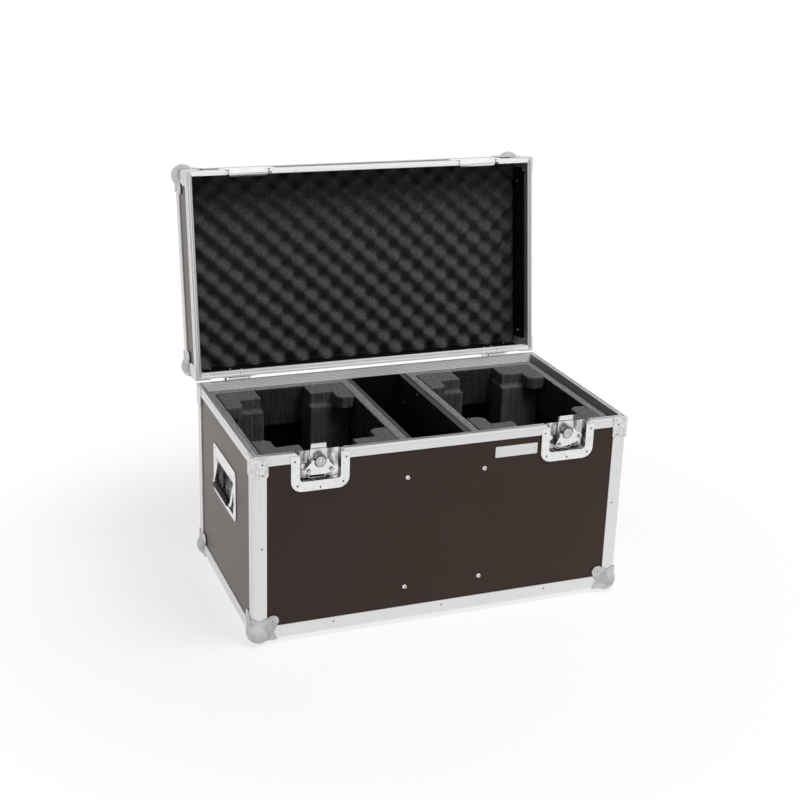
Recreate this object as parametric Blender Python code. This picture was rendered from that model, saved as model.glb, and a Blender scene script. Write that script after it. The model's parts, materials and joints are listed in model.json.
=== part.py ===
"""Lighting flight case with its lid open, for Blender 4.5.

Metres, +Z up, +X to the right, +Y to the back. The origin is the centre of the bottom panel's underside.
Everything on the lid is built in its closed place and turned open about the hinge line by its parent empty.
"""
import math

import bmesh
import bpy
from mathutils import Matrix, Vector

# Whole case, over the aluminium edges
case_width = 0.720
case_depth = 0.400
base_height = 0.352
lid_height = 0.102
lid_open_angle = math.radians(98.0)

# Sheet, board and running gaps
seat_gap = 0.0003
panel_thickness = 0.0064
divider_thickness = 0.010

# Aluminium double angle on the edges and posts
edge_leg = 0.025
edge_inner_leg = 0.020
edge_wall = 0.0012
edge_round = 0.0016

# Aluminium tongue and groove profile round the opening
rim_outer_leg = 0.0192
rim_inner_leg = 0.0178
rim_web = 0.0070
groove_start = 0.0028
groove_width = 0.0025
groove_depth = 0.0042
tongue_inset = 0.0003
tongue_thickness = 0.0012
tongue_height = 0.0035
rim_notch_chamfer_width = 0.008
rim_notch_chamfer_height = 0.006

# Stamped steel ball corners
ball_radius = 0.0220
ball_centre_inset = 0.012
ball_sheet = 0.0016
ball_lobe_centre = 0.035
ball_lobe_radius = 0.0118
ball_lobe_waist = 0.037
ball_lobe_waist_rise = 0.013
ball_flange_reach = 0.044

# Stamped corner braces riveted over the joint of post and rim
brace_sheet = 0.0015
brace_width = 0.0276
brace_height = 0.041
brace_chamfer = 0.0045
brace_top_drop = 0.001
brace_weld = 0.0003

# Latches, measured from the latch centre and from the rim downwards or upwards
latch_side_distance = 0.121
latch_half_width = 0.0532
latch_base_reach = 0.0730
latch_lid_reach = 0.040
latch_outer_round = 0.020
latch_lid_round = 0.017
latch_sheet = 0.0015
dish_half_width = 0.037
dish_base_reach = 0.0545
dish_lid_reach = 0.027
dish_round = 0.006
dish_depth = 0.013
dish_wall = 0.0012
dish_top_drop = 0.0027
hub_drop = 0.0205
hub_radius = 0.0098
hub_front = 0.0005
hub_back = 0.0045
hub_dome = 0.0012
hub_dome_share = 0.62
shaft_radius = 0.0035
wing_axis_depth = 0.0022
wing_thickness = 0.0016
wing_pin_radius = 0.0011
wing_knuckle_radius = 0.0024
wing_knuckle_start = 0.0108
wing_knuckle_end = 0.0158
wing_notch_radius = 0.0112
wing_hole_x = 0.0200
wing_hole_drop = 0.0155
wing_hole_radius = 0.0022
wing_end_radius = 0.0066
wing_reach = 0.0245
wing_turned_at_rest = {"left": 0.0, "right": math.radians(17.0)}
hook_thickness = 0.0015
hook_top_width = 0.0266
hook_low_width = 0.031
hook_shoulder_drop = 0.0050
hook_rise = 0.0097
hook_drop = 0.036
hook_lip = 0.0027
hook_travel_down = 0.0045
hook_travel_forward = 0.0035
latch_turn = math.pi
strike_front = 0.0045
strike_thickness = 0.0020
strike_height = 0.0022
strike_rise = 0.0008

# Sprung handles on the sides, with the place of the dish on the side panel
handle_drop = 0.126
handle_shift = -0.0025
handle_length = 0.160
handle_tall = 0.098
handle_round = 0.010
handle_sheet = 0.0015
handle_dish_length = 0.128
handle_dish_top = 0.0230
handle_dish_bottom = 0.039
handle_dish_round = 0.003
handle_pivot_rise = 0.0170
handle_pivot_depth = 0.0030
handle_grip_drop = 0.0235
handle_grip_proud = 0.0042
handle_grip_radius = 0.0060
handle_sleeve_gap = 0.012
handle_rod_radius = 0.0026
handle_bend = 0.0030
handle_arm_gap = 0.004

# Foam and dividers
foam_top_drop = 0.0155
lining_thickness = 0.0178
lining_handle_gap = 0.0048
centre_bay_width = 0.104
centre_bay_shift = 0.003
block_length_x = 0.078
block_length_y = 0.086
block_arm_x = 0.034
block_arm_y = 0.048
block_plate_thickness = 0.025
pillar_overhang_x = 0.003
pillar_overhang_y = 0.012
block_corner_cut = 0.010
egg_foam_side_gap = 0.016
egg_foam_base = 0.022
egg_foam_wave = 0.020
egg_foam_pitch = 0.051
egg_foam_row_pitch = 0.048
egg_foam_hollow_x = 0.0243
egg_foam_hollow_y = 0.0211
egg_foam_edge_share = 0.2

# Hinges on the back
hinge_side_distance = 0.085
hinge_width = 0.064
hinge_barrel_width = 0.044
hinge_leaf_height = 0.040
hinge_sheet = 0.0018
hinge_offset = 0.0036
hinge_barrel_radius = 0.0032
hinge_pin_radius = 0.0015
hinge_middle_width = 0.016
hinge_round = 0.004

# Bare name plate
nameplate_length = 0.084
nameplate_height = 0.021
nameplate_sheet = 0.0008
nameplate_latch_gap = 0.0073
nameplate_drop = 0.0430
nameplate_round = 0.0015

# Facets
round_steps = 5
lobe_steps = 8
ball_steps = 16
grip_steps = 14
rod_steps = 8

# Clean-up after a Boolean: points nearer than this are one, faces flatter than this are one
merge_reach = 0.00001
flat_limit = math.radians(0.05)

# Edges sharper than this stay sharp
smooth_limit = math.radians(30.0)

# Places worked out from the sizes above
half_width = case_width / 2
half_depth = case_depth / 2
edge_bottom = -edge_wall - seat_gap
rim_height = edge_bottom + base_height
lid_rim = rim_height + seat_gap
lid_top = lid_rim + lid_height
panel_offset = edge_wall + seat_gap
inner_leg_offset = edge_wall + panel_thickness + 2 * seat_gap
inner_face = panel_offset + panel_thickness
profile_width = inner_leg_offset + edge_wall
panel_inset = profile_width + seat_gap
foam_top = rim_height - foam_top_drop
floor_top = panel_thickness + seat_gap
latch_centre = half_width - latch_side_distance
handle_height = base_height - handle_drop
handle_arm_spread = handle_dish_length / 2 - handle_arm_gap
lining_low = handle_height + handle_dish_top + dish_wall + lining_handle_gap
nameplate_end = latch_centre - latch_half_width - nameplate_latch_gap
hinge_place = half_width - hinge_side_distance
hinge_y = half_depth + hinge_offset
hinge_z = rim_height + seat_gap / 2


def clean_scene():
    for old in list(bpy.data.objects):
        bpy.data.objects.remove(old, do_unlink=True)


def finish_material(name, colour, roughness, metallic):
    material = bpy.data.materials.new(name)
    material.use_nodes = True
    shader = material.node_tree.nodes["Principled BSDF"]
    shader.inputs["Base Color"].default_value = (*colour, 1.0)
    shader.inputs["Roughness"].default_value = roughness
    shader.inputs["Metallic"].default_value = metallic
    return material


# Colours and surface values of each finish
finishes = {
    "board": ((0.048, 0.036, 0.032), 0.45, 0.0),
    "inner_board": ((0.010, 0.010, 0.010), 0.60, 0.0),
    "aluminium": ((0.72, 0.72, 0.73), 0.35, 1.0),
    "steel": ((0.78, 0.78, 0.79), 0.25, 1.0),
    "foam": ((0.030, 0.030, 0.031), 0.95, 0.0),
    "grip": ((0.020, 0.020, 0.021), 0.55, 0.0),
}


def add_part(name, mesh, finish, parent=None):
    """One named sub-part with a material of its own."""
    part = bpy.data.objects.new(name, mesh)
    bpy.context.scene.collection.objects.link(part)
    colour, roughness, metallic = finishes[finish]
    mesh.materials.clear()
    mesh.materials.append(finish_material(name, colour, roughness, metallic))
    if parent is not None:
        part.parent = parent
    return part


def mesh_from(bm, name):
    bmesh.ops.recalc_face_normals(bm, faces=bm.faces)
    mesh = bpy.data.meshes.new(name)
    bm.to_mesh(mesh)
    bm.free()
    return mesh


def prism(outline, place, low, high):
    """Mesh of an outline between two levels; place turns (u, v, level) into a point."""
    bm = bmesh.new()
    ring = [bm.verts.new(place(u, v, low)) for u, v in outline]
    face = bm.faces.new(ring)
    top = bmesh.ops.extrude_face_region(bm, geom=[face])
    moved = [item for item in top["geom"] if isinstance(item, bmesh.types.BMVert)]
    start = Vector(place(0.0, 0.0, low))
    bmesh.ops.translate(bm, verts=moved, vec=Vector(place(0.0, 0.0, high)) - start)
    return mesh_from(bm, "prism")


def front_place(u, v, level):
    """Outline in X and Z, levels along +Y."""
    return (u, level, v)


def side_place(u, v, level):
    """Outline in Y and Z, levels along +X."""
    return (level, u, v)


def flat_place(u, v, level):
    """Outline in X and Y, levels along +Z."""
    return (u, v, level)


def box(low, high):
    outline = [(low[0], low[1]), (high[0], low[1]), (high[0], high[1]), (low[0], high[1])]
    return prism(outline, flat_place, low[2], high[2])


def arc(centre, radius, start, end, steps=round_steps):
    """Points of an arc, angles in degrees."""
    points = []
    for step in range(steps + 1):
        angle = math.radians(start + (end - start) * step / steps)
        points.append((centre[0] + radius * math.cos(angle), centre[1] + radius * math.sin(angle)))
    return points


def rounded_rectangle(low, high, radius):
    """Anticlockwise outline with round corners."""
    points = []
    points += arc((low[0] + radius, low[1] + radius), radius, 180, 270)
    points += arc((high[0] - radius, low[1] + radius), radius, 270, 360)
    points += arc((high[0] - radius, high[1] - radius), radius, 0, 90)
    points += arc((low[0] + radius, high[1] - radius), radius, 90, 180)
    return points


def rod(start, end, radius, steps):
    """Closed cylinder mesh between two points."""
    bm = bmesh.new()
    start = Vector(start)
    end = Vector(end)
    span = end - start
    turn = span.to_track_quat("Z", "Y").to_matrix().to_4x4()
    matrix = Matrix.Translation((start + end) / 2) @ turn
    bmesh.ops.create_cone(bm, cap_ends=True, segments=steps, radius1=radius, radius2=radius,
                          depth=span.length, matrix=matrix)
    return mesh_from(bm, "rod")


def combine(first, steps):
    """Mesh after a list of ("UNION" or "DIFFERENCE", mesh) steps on the first mesh."""
    body = bpy.data.objects.new("body", first)
    bpy.context.scene.collection.objects.link(body)
    helpers = []
    for operation, mesh in steps:
        helper = bpy.data.objects.new("helper", mesh)
        bpy.context.scene.collection.objects.link(helper)
        helper.hide_render = True
        helper.display_type = "WIRE"
        helpers.append(helper)
        modifier = body.modifiers.new("shape", "BOOLEAN")
        modifier.operation = operation
        modifier.solver = "EXACT"
        modifier.object = helper
    bpy.context.view_layer.update()
    shaped = body.evaluated_get(bpy.context.evaluated_depsgraph_get())
    result = bpy.data.meshes.new_from_object(shaped)
    for helper in helpers + [body]:
        bpy.data.objects.remove(helper, do_unlink=True)
    bm = bmesh.new()
    bm.from_mesh(result)
    bmesh.ops.remove_doubles(bm, verts=bm.verts, dist=merge_reach)
    bmesh.ops.dissolve_limit(bm, angle_limit=flat_limit, verts=bm.verts, edges=bm.edges)
    bmesh.ops.triangulate(bm, faces=bm.faces)
    bm.to_mesh(result)
    bm.free()
    return result


def mirrored(mesh, scale):
    """Copy of a mesh scaled by signs, with its faces kept pointing out."""
    bm = bmesh.new()
    bm.from_mesh(mesh)
    bmesh.ops.scale(bm, vec=Vector(scale), verts=bm.verts)
    if scale[0] * scale[1] * scale[2] < 0:
        bmesh.ops.reverse_faces(bm, faces=bm.faces)
    copy = bpy.data.meshes.new("mirrored")
    bm.to_mesh(copy)
    bm.free()
    return copy


def moved(mesh, offset):
    copy = mesh.copy()
    copy.transform(Matrix.Translation(offset))
    return copy


def sweep(profile, stations, closed):
    """Skin an (inset, height) profile through stations that turn a profile point into a place."""
    bm = bmesh.new()
    rings = [[bm.verts.new(station(inset, height)) for inset, height in profile] for station in stations]
    pairs = list(zip(rings, rings[1:]))
    if closed:
        pairs.append((rings[-1], rings[0]))
    count = len(profile)
    for ring, following in pairs:
        for index in range(count):
            after = (index + 1) % count
            bm.faces.new((ring[index], ring[after], following[after], following[index]))
    if not closed:
        bm.faces.new(rings[0])
        bm.faces.new(rings[-1])
    bmesh.ops.triangulate(bm, faces=[face for face in bm.faces if len(face.verts) > 4])
    return mesh_from(bm, "sweep")


def corner_station(side_x, side_y):
    """Mitre at one corner of the case."""
    return lambda inset, height: (side_x * (half_width - inset), side_y * (half_depth - inset), height)


def front_end(place_x, away, level):
    """End of a rim profile beside a latch notch, chamfered near the rim's top at the given level."""
    def station(inset, height):
        below = abs(height - level)
        share = max(0.0, 1.0 - below / rim_notch_chamfer_height)
        return (place_x + away * rim_notch_chamfer_width * share, -half_depth + inset, height)
    return station


def edge_outline():
    """Double angle: outer L, solid corner core and inner L, as distances from the two outer faces."""
    wall = edge_wall
    core = profile_width
    slot = inner_leg_offset
    return [
        (0.0, edge_round), (edge_round / 4, edge_round / 4), (edge_round, 0.0),
        (edge_leg, 0.0), (edge_leg, wall), (core, wall), (core, slot),
        (edge_inner_leg, slot), (edge_inner_leg, core), (core, core), (core, edge_inner_leg),
        (slot, edge_inner_leg), (slot, core), (wall, core), (wall, edge_leg), (0.0, edge_leg),
    ]


def rim_outline(is_lid):
    """Closing profile as (inset, height above its rim plane), legs down for the base."""
    lip = edge_round / 2
    points = [
        (0.0, -rim_outer_leg), (edge_wall, -rim_outer_leg), (edge_wall, -rim_web),
        (inner_leg_offset, -rim_web), (inner_leg_offset, -rim_inner_leg),
        (profile_width, -rim_inner_leg), (profile_width, -rim_notch_chamfer_height),
        (profile_width, -lip), (profile_width - lip, 0.0),
    ]
    outer = [(lip, 0.0), (0.0, -lip), (0.0, -rim_notch_chamfer_height)]
    groove_end = groove_start + groove_width
    if not is_lid:
        groove = [(groove_end, 0.0), (groove_end, -groove_depth), (groove_start, -groove_depth),
                  (groove_start, 0.0)]
        return points + groove + outer
    tongue_start = groove_start + tongue_inset
    tongue_end = tongue_start + tongue_thickness
    tongue = [(tongue_end, 0.0), (tongue_end, tongue_height), (tongue_start, tongue_height),
              (tongue_start, 0.0)]
    return [(inset, -height) for inset, height in points + tongue + outer]


def raised(outline, level):
    return [(inset, level + height) for inset, height in outline]


corner_order = ((-1, -1), (1, -1), (1, 1), (-1, 1))
corner_names = {(-1, -1): "front_left", (1, -1): "front_right", (1, 1): "back_right", (-1, 1): "back_left"}


def closing_profiles(prefix, outline, level, parent, settle):
    """The profile round the opening: one run from latch to latch behind, one between the latches."""
    outer_cut = latch_centre + dish_half_width + dish_wall + seat_gap
    inner_cut = latch_centre - dish_half_width - dish_wall - seat_gap
    placed = raised(outline, level)
    stations = [front_end(outer_cut, 1, level), corner_station(1, -1), corner_station(1, 1),
                corner_station(-1, 1), corner_station(-1, -1), front_end(-outer_cut, -1, level)]
    add_part(prefix + "_closing_profile", settle(sweep(placed, stations, False)), "aluminium", parent)
    middle = [front_end(-inner_cut, 1, level), front_end(inner_cut, -1, level)]
    add_part(prefix + "_closing_profile_front", settle(sweep(placed, middle, False)), "aluminium", parent)


def edge_frame(level, direction):
    """Mitred frame of double angle, its outer face at the level and its legs along direction."""
    outline = [(inset, level + direction * height) for inset, height in edge_outline()]
    stations = [corner_station(side_x, side_y) for side_x, side_y in corner_order]
    return sweep(outline, stations, True)


def post(side, low, high):
    """Corner post of double angle between two levels."""
    outline = [(side[0] * (half_width - u), side[1] * (half_depth - v)) for u, v in edge_outline()]
    return prism(outline, flat_place, low, high)


def brace_plate(top, direction):
    """Outline on a face, as distance from the corner and height: a strip with cut corners."""
    first = top + direction * brace_top_drop
    last = top + direction * brace_height
    cut = last - direction * brace_chamfer
    return [(-brace_sheet - seat_gap, first), (brace_width, first), (brace_width, cut),
            (brace_width - brace_chamfer, last), (-brace_sheet - seat_gap, last)]


def brace_steps(side, top, direction):
    """The two faces of a brace, with the patches that rivet it to the post."""
    outer = -brace_sheet - seat_gap
    post_start = top + direction * (rim_outer_leg + seat_gap)
    post_end = top + direction * (brace_height - brace_chamfer)
    steps = []
    plate = brace_plate(top, direction)
    front = [(side[0] * (half_width - u), v) for u, v in plate]
    patch = [(side[0] * (half_width - u), v) for u, v in
             ((edge_round, post_start), (edge_leg - edge_wall, post_start), (edge_leg - edge_wall, post_end),
              (edge_round, post_end))]
    face = side[1] * half_depth
    steps.append(("UNION", prism(front, front_place, face - side[1] * outer, face + side[1] * seat_gap)))
    steps.append(("UNION", prism(patch, front_place, face + side[1] * (seat_gap + brace_weld),
                                 face - side[1] * brace_weld)))
    flank = [(side[1] * (half_depth - u), v) for u, v in plate]
    patch = [(side[1] * (half_depth - u), v) for u, v in
             ((edge_round, post_start), (edge_leg - edge_wall, post_start), (edge_leg - edge_wall, post_end),
              (edge_round, post_end))]
    face = side[0] * half_width
    steps.append(("UNION", prism(flank, side_place, face - side[0] * outer, face + side[0] * seat_gap)))
    steps.append(("UNION", prism(patch, side_place, face + side[0] * (seat_gap + brace_weld),
                                 face - side[0] * brace_weld)))
    return steps


def ball_corner():
    """Ball corner for the corner at the origin of a case that fills the +X +Y +Z octant."""
    bm = bmesh.new()
    matrix = Matrix.Translation((ball_centre_inset, ball_centre_inset, ball_centre_inset))
    bmesh.ops.create_uvsphere(bm, u_segments=ball_steps, v_segments=ball_steps // 2, radius=ball_radius,
                              matrix=matrix)
    ball = mesh_from(bm, "ball")
    outer = -ball_sheet - seat_gap
    low = outer
    flange = [(low, low), (ball_flange_reach, low), (ball_lobe_waist, ball_lobe_waist_rise)]
    flange += arc((ball_lobe_centre, ball_lobe_centre), ball_lobe_radius, -40, 130, lobe_steps)
    flange += [(ball_lobe_waist_rise, ball_lobe_waist), (low, ball_flange_reach)]
    clear = edge_leg + seat_gap
    foot = [(clear, clear)]
    for u, v in arc((ball_lobe_centre, ball_lobe_centre), ball_lobe_radius, -60, 150, lobe_steps):
        if u > clear and v > clear:
            foot.append((u, v))
    places = (flat_place, front_place, side_place)
    steps = []
    for place in places:
        steps.append(("UNION", prism(flange, place, outer, -seat_gap / 2)))
        steps.append(("UNION", prism(foot, place, outer / 2, edge_wall)))
    corner = box((-seat_gap, -seat_gap, -seat_gap), (case_depth, case_depth, case_depth))
    return combine(ball, [("DIFFERENCE", corner)] + steps)


def panel(name, outline, place, low, high, parent=None, finish="board"):
    return add_part(name, prism(outline, place, low, high), finish, parent)


def rectangle(low, high):
    return [(low[0], low[1]), (high[0], low[1]), (high[0], high[1]), (low[0], high[1])]


def dish_outline(half, reach, radius, top, direction):
    """U-shaped run of points round a dish: open at the rim, closed at its reach."""
    bottom = direction * reach
    if direction < 0:
        start = arc((-half + radius, bottom + radius), radius, 180, 270)
        end = arc((half - radius, bottom + radius), radius, 270, 360)
    else:
        start = arc((-half + radius, bottom - radius), radius, 180, 90)
        end = arc((half - radius, bottom - radius), radius, 90, 0)
    return [(-half, direction * top)] + start + end + [(half, direction * top)]


def latch_dish(direction, reach, tub_reach, outer_round):
    """Dish of a latch, its centre and the rim at the origin, its face towards -Y."""
    outer = dish_outline(latch_half_width, reach, outer_round, rim_notch_chamfer_height, direction)
    inner = dish_outline(dish_half_width, tub_reach, dish_round, rim_notch_chamfer_height, direction)
    flange = outer + inner[::-1]
    leg_end = rim_outer_leg + seat_gap
    lower_outer = dish_outline(latch_half_width, reach, outer_round, leg_end, direction)
    lower_inner = dish_outline(dish_half_width, tub_reach, dish_round, leg_end, direction)
    joggle = lower_outer + lower_inner[::-1]
    tub_outer = dish_outline(dish_half_width + dish_wall, tub_reach + dish_wall, dish_round + dish_wall,
                             dish_top_drop, direction)
    tub_inner = dish_outline(dish_half_width, tub_reach, dish_round, dish_top_drop, direction)
    wall = tub_outer + tub_inner[::-1]
    face = -latch_sheet - seat_gap
    sheet = prism(flange, front_place, face, -seat_gap)
    return combine(sheet, [
        ("UNION", prism(joggle, front_place, face / 2, panel_offset - seat_gap)),
        ("UNION", prism(wall, front_place, face / 2, dish_depth + dish_wall)),
        ("UNION", prism(tub_outer, front_place, dish_depth, dish_depth + dish_wall)),
    ])


def latch_strike():
    """Bar across the lid's dish that the hook pulls on."""
    half = dish_half_width + dish_wall / 2
    return box((-half, strike_front, strike_rise), (half, strike_front + strike_thickness,
                                                   strike_rise + strike_height))


def latch_hub():
    """Turning knob with its shaft and the two pins of the wing, hub centre at the origin, face to -Y."""
    top = -hub_front - hub_dome
    shaft_end = dish_depth - seat_gap
    profile = [(0.0, top), (hub_radius * hub_dome_share, top), (hub_radius, -hub_front),
               (hub_radius, hub_back), (shaft_radius, hub_back), (shaft_radius, shaft_end),
               (0.0, shaft_end)]
    bm = bmesh.new()
    points = [bm.verts.new((x, y, 0.0)) for x, y in profile]
    edges = [bm.edges.new(pair) for pair in zip(points, points[1:])]
    bmesh.ops.spin(bm, geom=points + edges, cent=(0, 0, 0), axis=(0, 1, 0), angle=2 * math.pi,
                   steps=4 * round_steps, use_merge=True)
    bmesh.ops.remove_doubles(bm, verts=bm.verts, dist=merge_reach)
    knob = mesh_from(bm, "knob")
    reach = wing_knuckle_end - seat_gap
    pin = rod((-reach, wing_axis_depth, 0.0), (reach, wing_axis_depth, 0.0), wing_pin_radius, rod_steps)
    return combine(knob, [("UNION", pin)])


def wing_outline():
    """Half-round notch round the hub, two round ears with a hole, a straight lower edge."""
    top = -wing_knuckle_radius / 2
    notch_angle = math.degrees(math.asin(-top / wing_notch_radius))
    points = arc((0.0, 0.0), wing_notch_radius, 360 - notch_angle, 180 + notch_angle, 2 * round_steps)
    centre = (wing_hole_x, -wing_hole_drop)
    left = arc((-centre[0], centre[1]), wing_end_radius, 130, 250)
    right = arc(centre, wing_end_radius, 290, 410)
    points += [(-wing_knuckle_end, top)] + left
    points += [(-wing_knuckle_start, -wing_reach), (wing_knuckle_start, -wing_reach)] + right
    points += [(wing_knuckle_end, top)]
    return points


def latch_wing():
    """Folding wing in its hub's frame, hanging flat below the hub."""
    half = wing_thickness / 2
    front = wing_axis_depth - half
    plate = prism(wing_outline(), front_place, front, front + wing_thickness)
    steps = []
    for side in (-1, 1):
        start = (side * wing_knuckle_start, wing_axis_depth, 0.0)
        end = (side * wing_knuckle_end, wing_axis_depth, 0.0)
        steps.append(("UNION", rod(start, end, wing_knuckle_radius, rod_steps)))
        hole = (side * wing_hole_x, -wing_hole_drop)
        steps.append(("DIFFERENCE", rod((hole[0], front - wing_thickness, hole[1]),
                                        (hole[0], front + 2 * wing_thickness, hole[1]), wing_hole_radius,
                                        rod_steps)))
    overrun = wing_knuckle_end + wing_thickness
    bore = rod((-overrun, wing_axis_depth, 0.0), (overrun, wing_axis_depth, 0.0),
               wing_pin_radius + seat_gap, rod_steps)
    steps.append(("DIFFERENCE", bore))
    return combine(plate, steps)


def latch_hook():
    """Flat hook behind the hub, raised as at rest, in the latch's frame with the rim at zero."""
    back = dish_depth - seat_gap
    front = back - hook_thickness
    top = hook_top_width / 2
    low = hook_low_width / 2
    outline = [(-low, -hook_drop), (low, -hook_drop), (low, -hook_shoulder_drop), (top, hook_rise),
               (-top, hook_rise), (-low, -hook_shoulder_drop)]
    half_slot = shaft_radius + seat_gap
    slot = arc((0.0, -hub_drop), half_slot, 180, 360)
    slot += arc((0.0, -hub_drop + hook_travel_down), half_slot, 0, 180)
    plate = prism(outline, front_place, front, back)
    lip = box((-top, front - hook_lip, hook_rise - hook_thickness), (top, back, hook_rise))
    return combine(plate, [("UNION", lip), ("DIFFERENCE", prism(slot, front_place, 0.0, dish_depth))])


def handle_dish():
    """Dish of a sprung handle on the -X side, face plane of the case at x = 0, dish centre at the origin."""
    half = handle_length / 2
    face = panel_offset - seat_gap - handle_sheet
    back = panel_offset - seat_gap
    outline = rounded_rectangle((-half, -handle_tall / 2), (half, handle_tall / 2), handle_round)
    tub_half = handle_dish_length / 2
    tub = rounded_rectangle((-tub_half, -handle_dish_bottom), (tub_half, handle_dish_top), handle_dish_round)
    wide = tub_half + dish_wall
    shell = rounded_rectangle((-wide, -handle_dish_bottom - dish_wall), (wide, handle_dish_top + dish_wall),
                              handle_dish_round + dish_wall)
    sheet = prism(outline, side_place, face, back)
    return combine(sheet, [
        ("UNION", prism(shell, side_place, (face + back) / 2, dish_depth + dish_wall)),
        ("DIFFERENCE", prism(tub, side_place, face - handle_sheet, dish_depth)),
    ])


def bend_station(point, across, side):
    """Section of a bent rod at a point of its middle line."""
    return lambda u, v: point + across * u + side * v


def bent_rod(corners, bend, radius, steps):
    """Rod through corner points that lie in one plane, each corner cut across at the bend's distance."""
    corners = [Vector(corner) for corner in corners]
    path = [corners[0]]
    for before, corner, after in zip(corners, corners[1:], corners[2:]):
        path.append(corner + (before - corner).normalized() * bend)
        path.append(corner + (after - corner).normalized() * bend)
    path.append(corners[-1])
    across = (corners[1] - corners[0]).cross(corners[2] - corners[1]).normalized()
    runs = [(end - start).normalized() for start, end in zip(path, path[1:])]
    stations = []
    for index, point in enumerate(path):
        before = runs[max(index - 1, 0)]
        after = runs[min(index, len(runs) - 1)]
        along = (before + after).normalized()
        stations.append(bend_station(point, across, along.cross(across) / along.dot(after)))
    return sweep(arc((0.0, 0.0), radius, 0, 360, steps)[:-1], stations, False)


def handle_bail():
    """Bail and grip of a handle, its pivot on the Y axis through the origin, hanging outwards to -X."""
    grip_x = -handle_grip_proud - handle_pivot_depth
    grip_z = -handle_grip_drop - handle_pivot_rise
    spread = handle_arm_spread
    pivot_reach = handle_dish_length / 2 - seat_gap
    half = spread - handle_sleeve_gap
    sleeve = rod((grip_x, -half, grip_z), (grip_x, half, grip_z), handle_grip_radius, grip_steps)
    corners = [(0.0, -pivot_reach, 0.0), (0.0, -spread, 0.0), (grip_x, -spread, grip_z),
               (grip_x, spread, grip_z), (0.0, spread, 0.0), (0.0, pivot_reach, 0.0)]
    bail = bent_rod(corners, handle_bend, handle_rod_radius, rod_steps)
    return combine(sleeve, [("UNION", bail)])


def hinge_leaf(is_lid):
    """One leaf on the back face, hinge centre at the origin, the case towards -Y."""
    direction = 1 if is_lid else -1
    near = -hinge_offset + seat_gap
    far = near + hinge_sheet
    half = hinge_width / 2
    outer = hinge_barrel_width / 2
    middle = hinge_middle_width / 2
    clear = hinge_barrel_radius + 2 * seat_gap
    last = direction * hinge_leaf_height
    step = direction * clear
    cut = hinge_round
    if is_lid:
        narrow = middle - seat_gap
        top_edge = [(-half, step), (-narrow, step), (-narrow, 0.0), (narrow, 0.0), (narrow, step),
                    (half, step)]
    else:
        wide = middle + seat_gap
        top_edge = [(-half, step), (-outer, step), (-outer, 0.0), (-wide, 0.0), (-wide, step), (wide, step),
                    (wide, 0.0), (outer, 0.0), (outer, step), (half, step)]
    outline = top_edge + [(half, last - direction * cut), (half - cut, last), (-half + cut, last),
                          (-half, last - direction * cut)]
    leaf = prism(outline, front_place, near, far)
    leg_end = direction * (rim_outer_leg + 2 * seat_gap)
    pad = [(-half + cut, leg_end), (half - cut, leg_end), (half - cut, last - direction * seat_gap),
           (-half + cut, last - direction * seat_gap)]
    steps = [("UNION", prism(pad, front_place, near - panel_offset, (near + far) / 2))]
    if is_lid:
        narrow = middle - seat_gap
        steps.append(("UNION", rod((-narrow, 0.0, 0.0), (narrow, 0.0, 0.0), hinge_barrel_radius, grip_steps)))
        bore = hinge_pin_radius + seat_gap
        steps.append(("DIFFERENCE", rod((-half, 0.0, 0.0), (half, 0.0, 0.0), bore, rod_steps)))
    else:
        wide = middle + seat_gap
        for side in (-1, 1):
            steps.append(("UNION", rod((side * wide, 0.0, 0.0), (side * outer, 0.0, 0.0),
                                       hinge_barrel_radius, grip_steps)))
        steps.append(("UNION", rod((-outer, 0.0, 0.0), (outer, 0.0, 0.0), hinge_pin_radius, rod_steps)))
    return combine(leaf, steps)


def foam_lines(reach, pitch, hollow):
    """Places of the peaks and hollows along one side of the foam, between its two cut edges."""
    half = pitch / 2
    first = math.ceil((-reach - hollow) / half + egg_foam_edge_share)
    last = math.floor((reach - hollow) / half - egg_foam_edge_share)
    return [-reach] + [hollow + half * step for step in range(first, last + 1)] + [reach]


def egg_crate_foam():
    """Convoluted foam sheet: staggered peaks and hollows, flat on its glued side."""
    bm = bmesh.new()
    right = half_width - egg_foam_side_gap
    back = half_depth - panel_inset
    glued = lid_top - profile_width - seat_gap
    middle = glued - egg_foam_base - egg_foam_wave / 2
    across = foam_lines(right, egg_foam_pitch, egg_foam_hollow_x)
    deep = foam_lines(back, egg_foam_row_pitch, egg_foam_hollow_y)
    columns, rows = len(across) - 1, len(deep) - 1

    def point(x, y):
        wave = math.cos(2 * math.pi * (x - egg_foam_hollow_x) / egg_foam_pitch)
        wave *= math.cos(2 * math.pi * (y - egg_foam_hollow_y) / egg_foam_row_pitch)
        return bm.verts.new((x, y, middle + wave * egg_foam_wave / 2))

    grid = {}
    for column, x in enumerate(across):
        for row, y in enumerate(deep):
            grid[column, row] = point(x, y)
    for column in range(columns):
        for row in range(rows):
            ring = [grid[column, row], grid[column + 1, row],
                    grid[column + 1, row + 1], grid[column, row + 1]]
            hub = point((ring[0].co.x + ring[2].co.x) / 2, (ring[0].co.y + ring[2].co.y) / 2)
            for index in range(len(ring)):
                bm.faces.new((ring[index], ring[index - 1], hub))
    border = [grid[column, 0] for column in range(columns)]
    border += [grid[columns, row] for row in range(rows)]
    border += [grid[column, rows] for column in range(columns, 0, -1)]
    border += [grid[0, row] for row in range(rows, 0, -1)]
    rim = [bm.verts.new((vert.co.x, vert.co.y, glued)) for vert in border]
    for index in range(len(border)):
        bm.faces.new((border[index - 1], border[index], rim[index], rim[index - 1]))
    bm.faces.new(rim)
    bmesh.ops.triangulate(bm, faces=[face for face in bm.faces if len(face.verts) > 4])
    return mesh_from(bm, "egg_crate")


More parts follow.
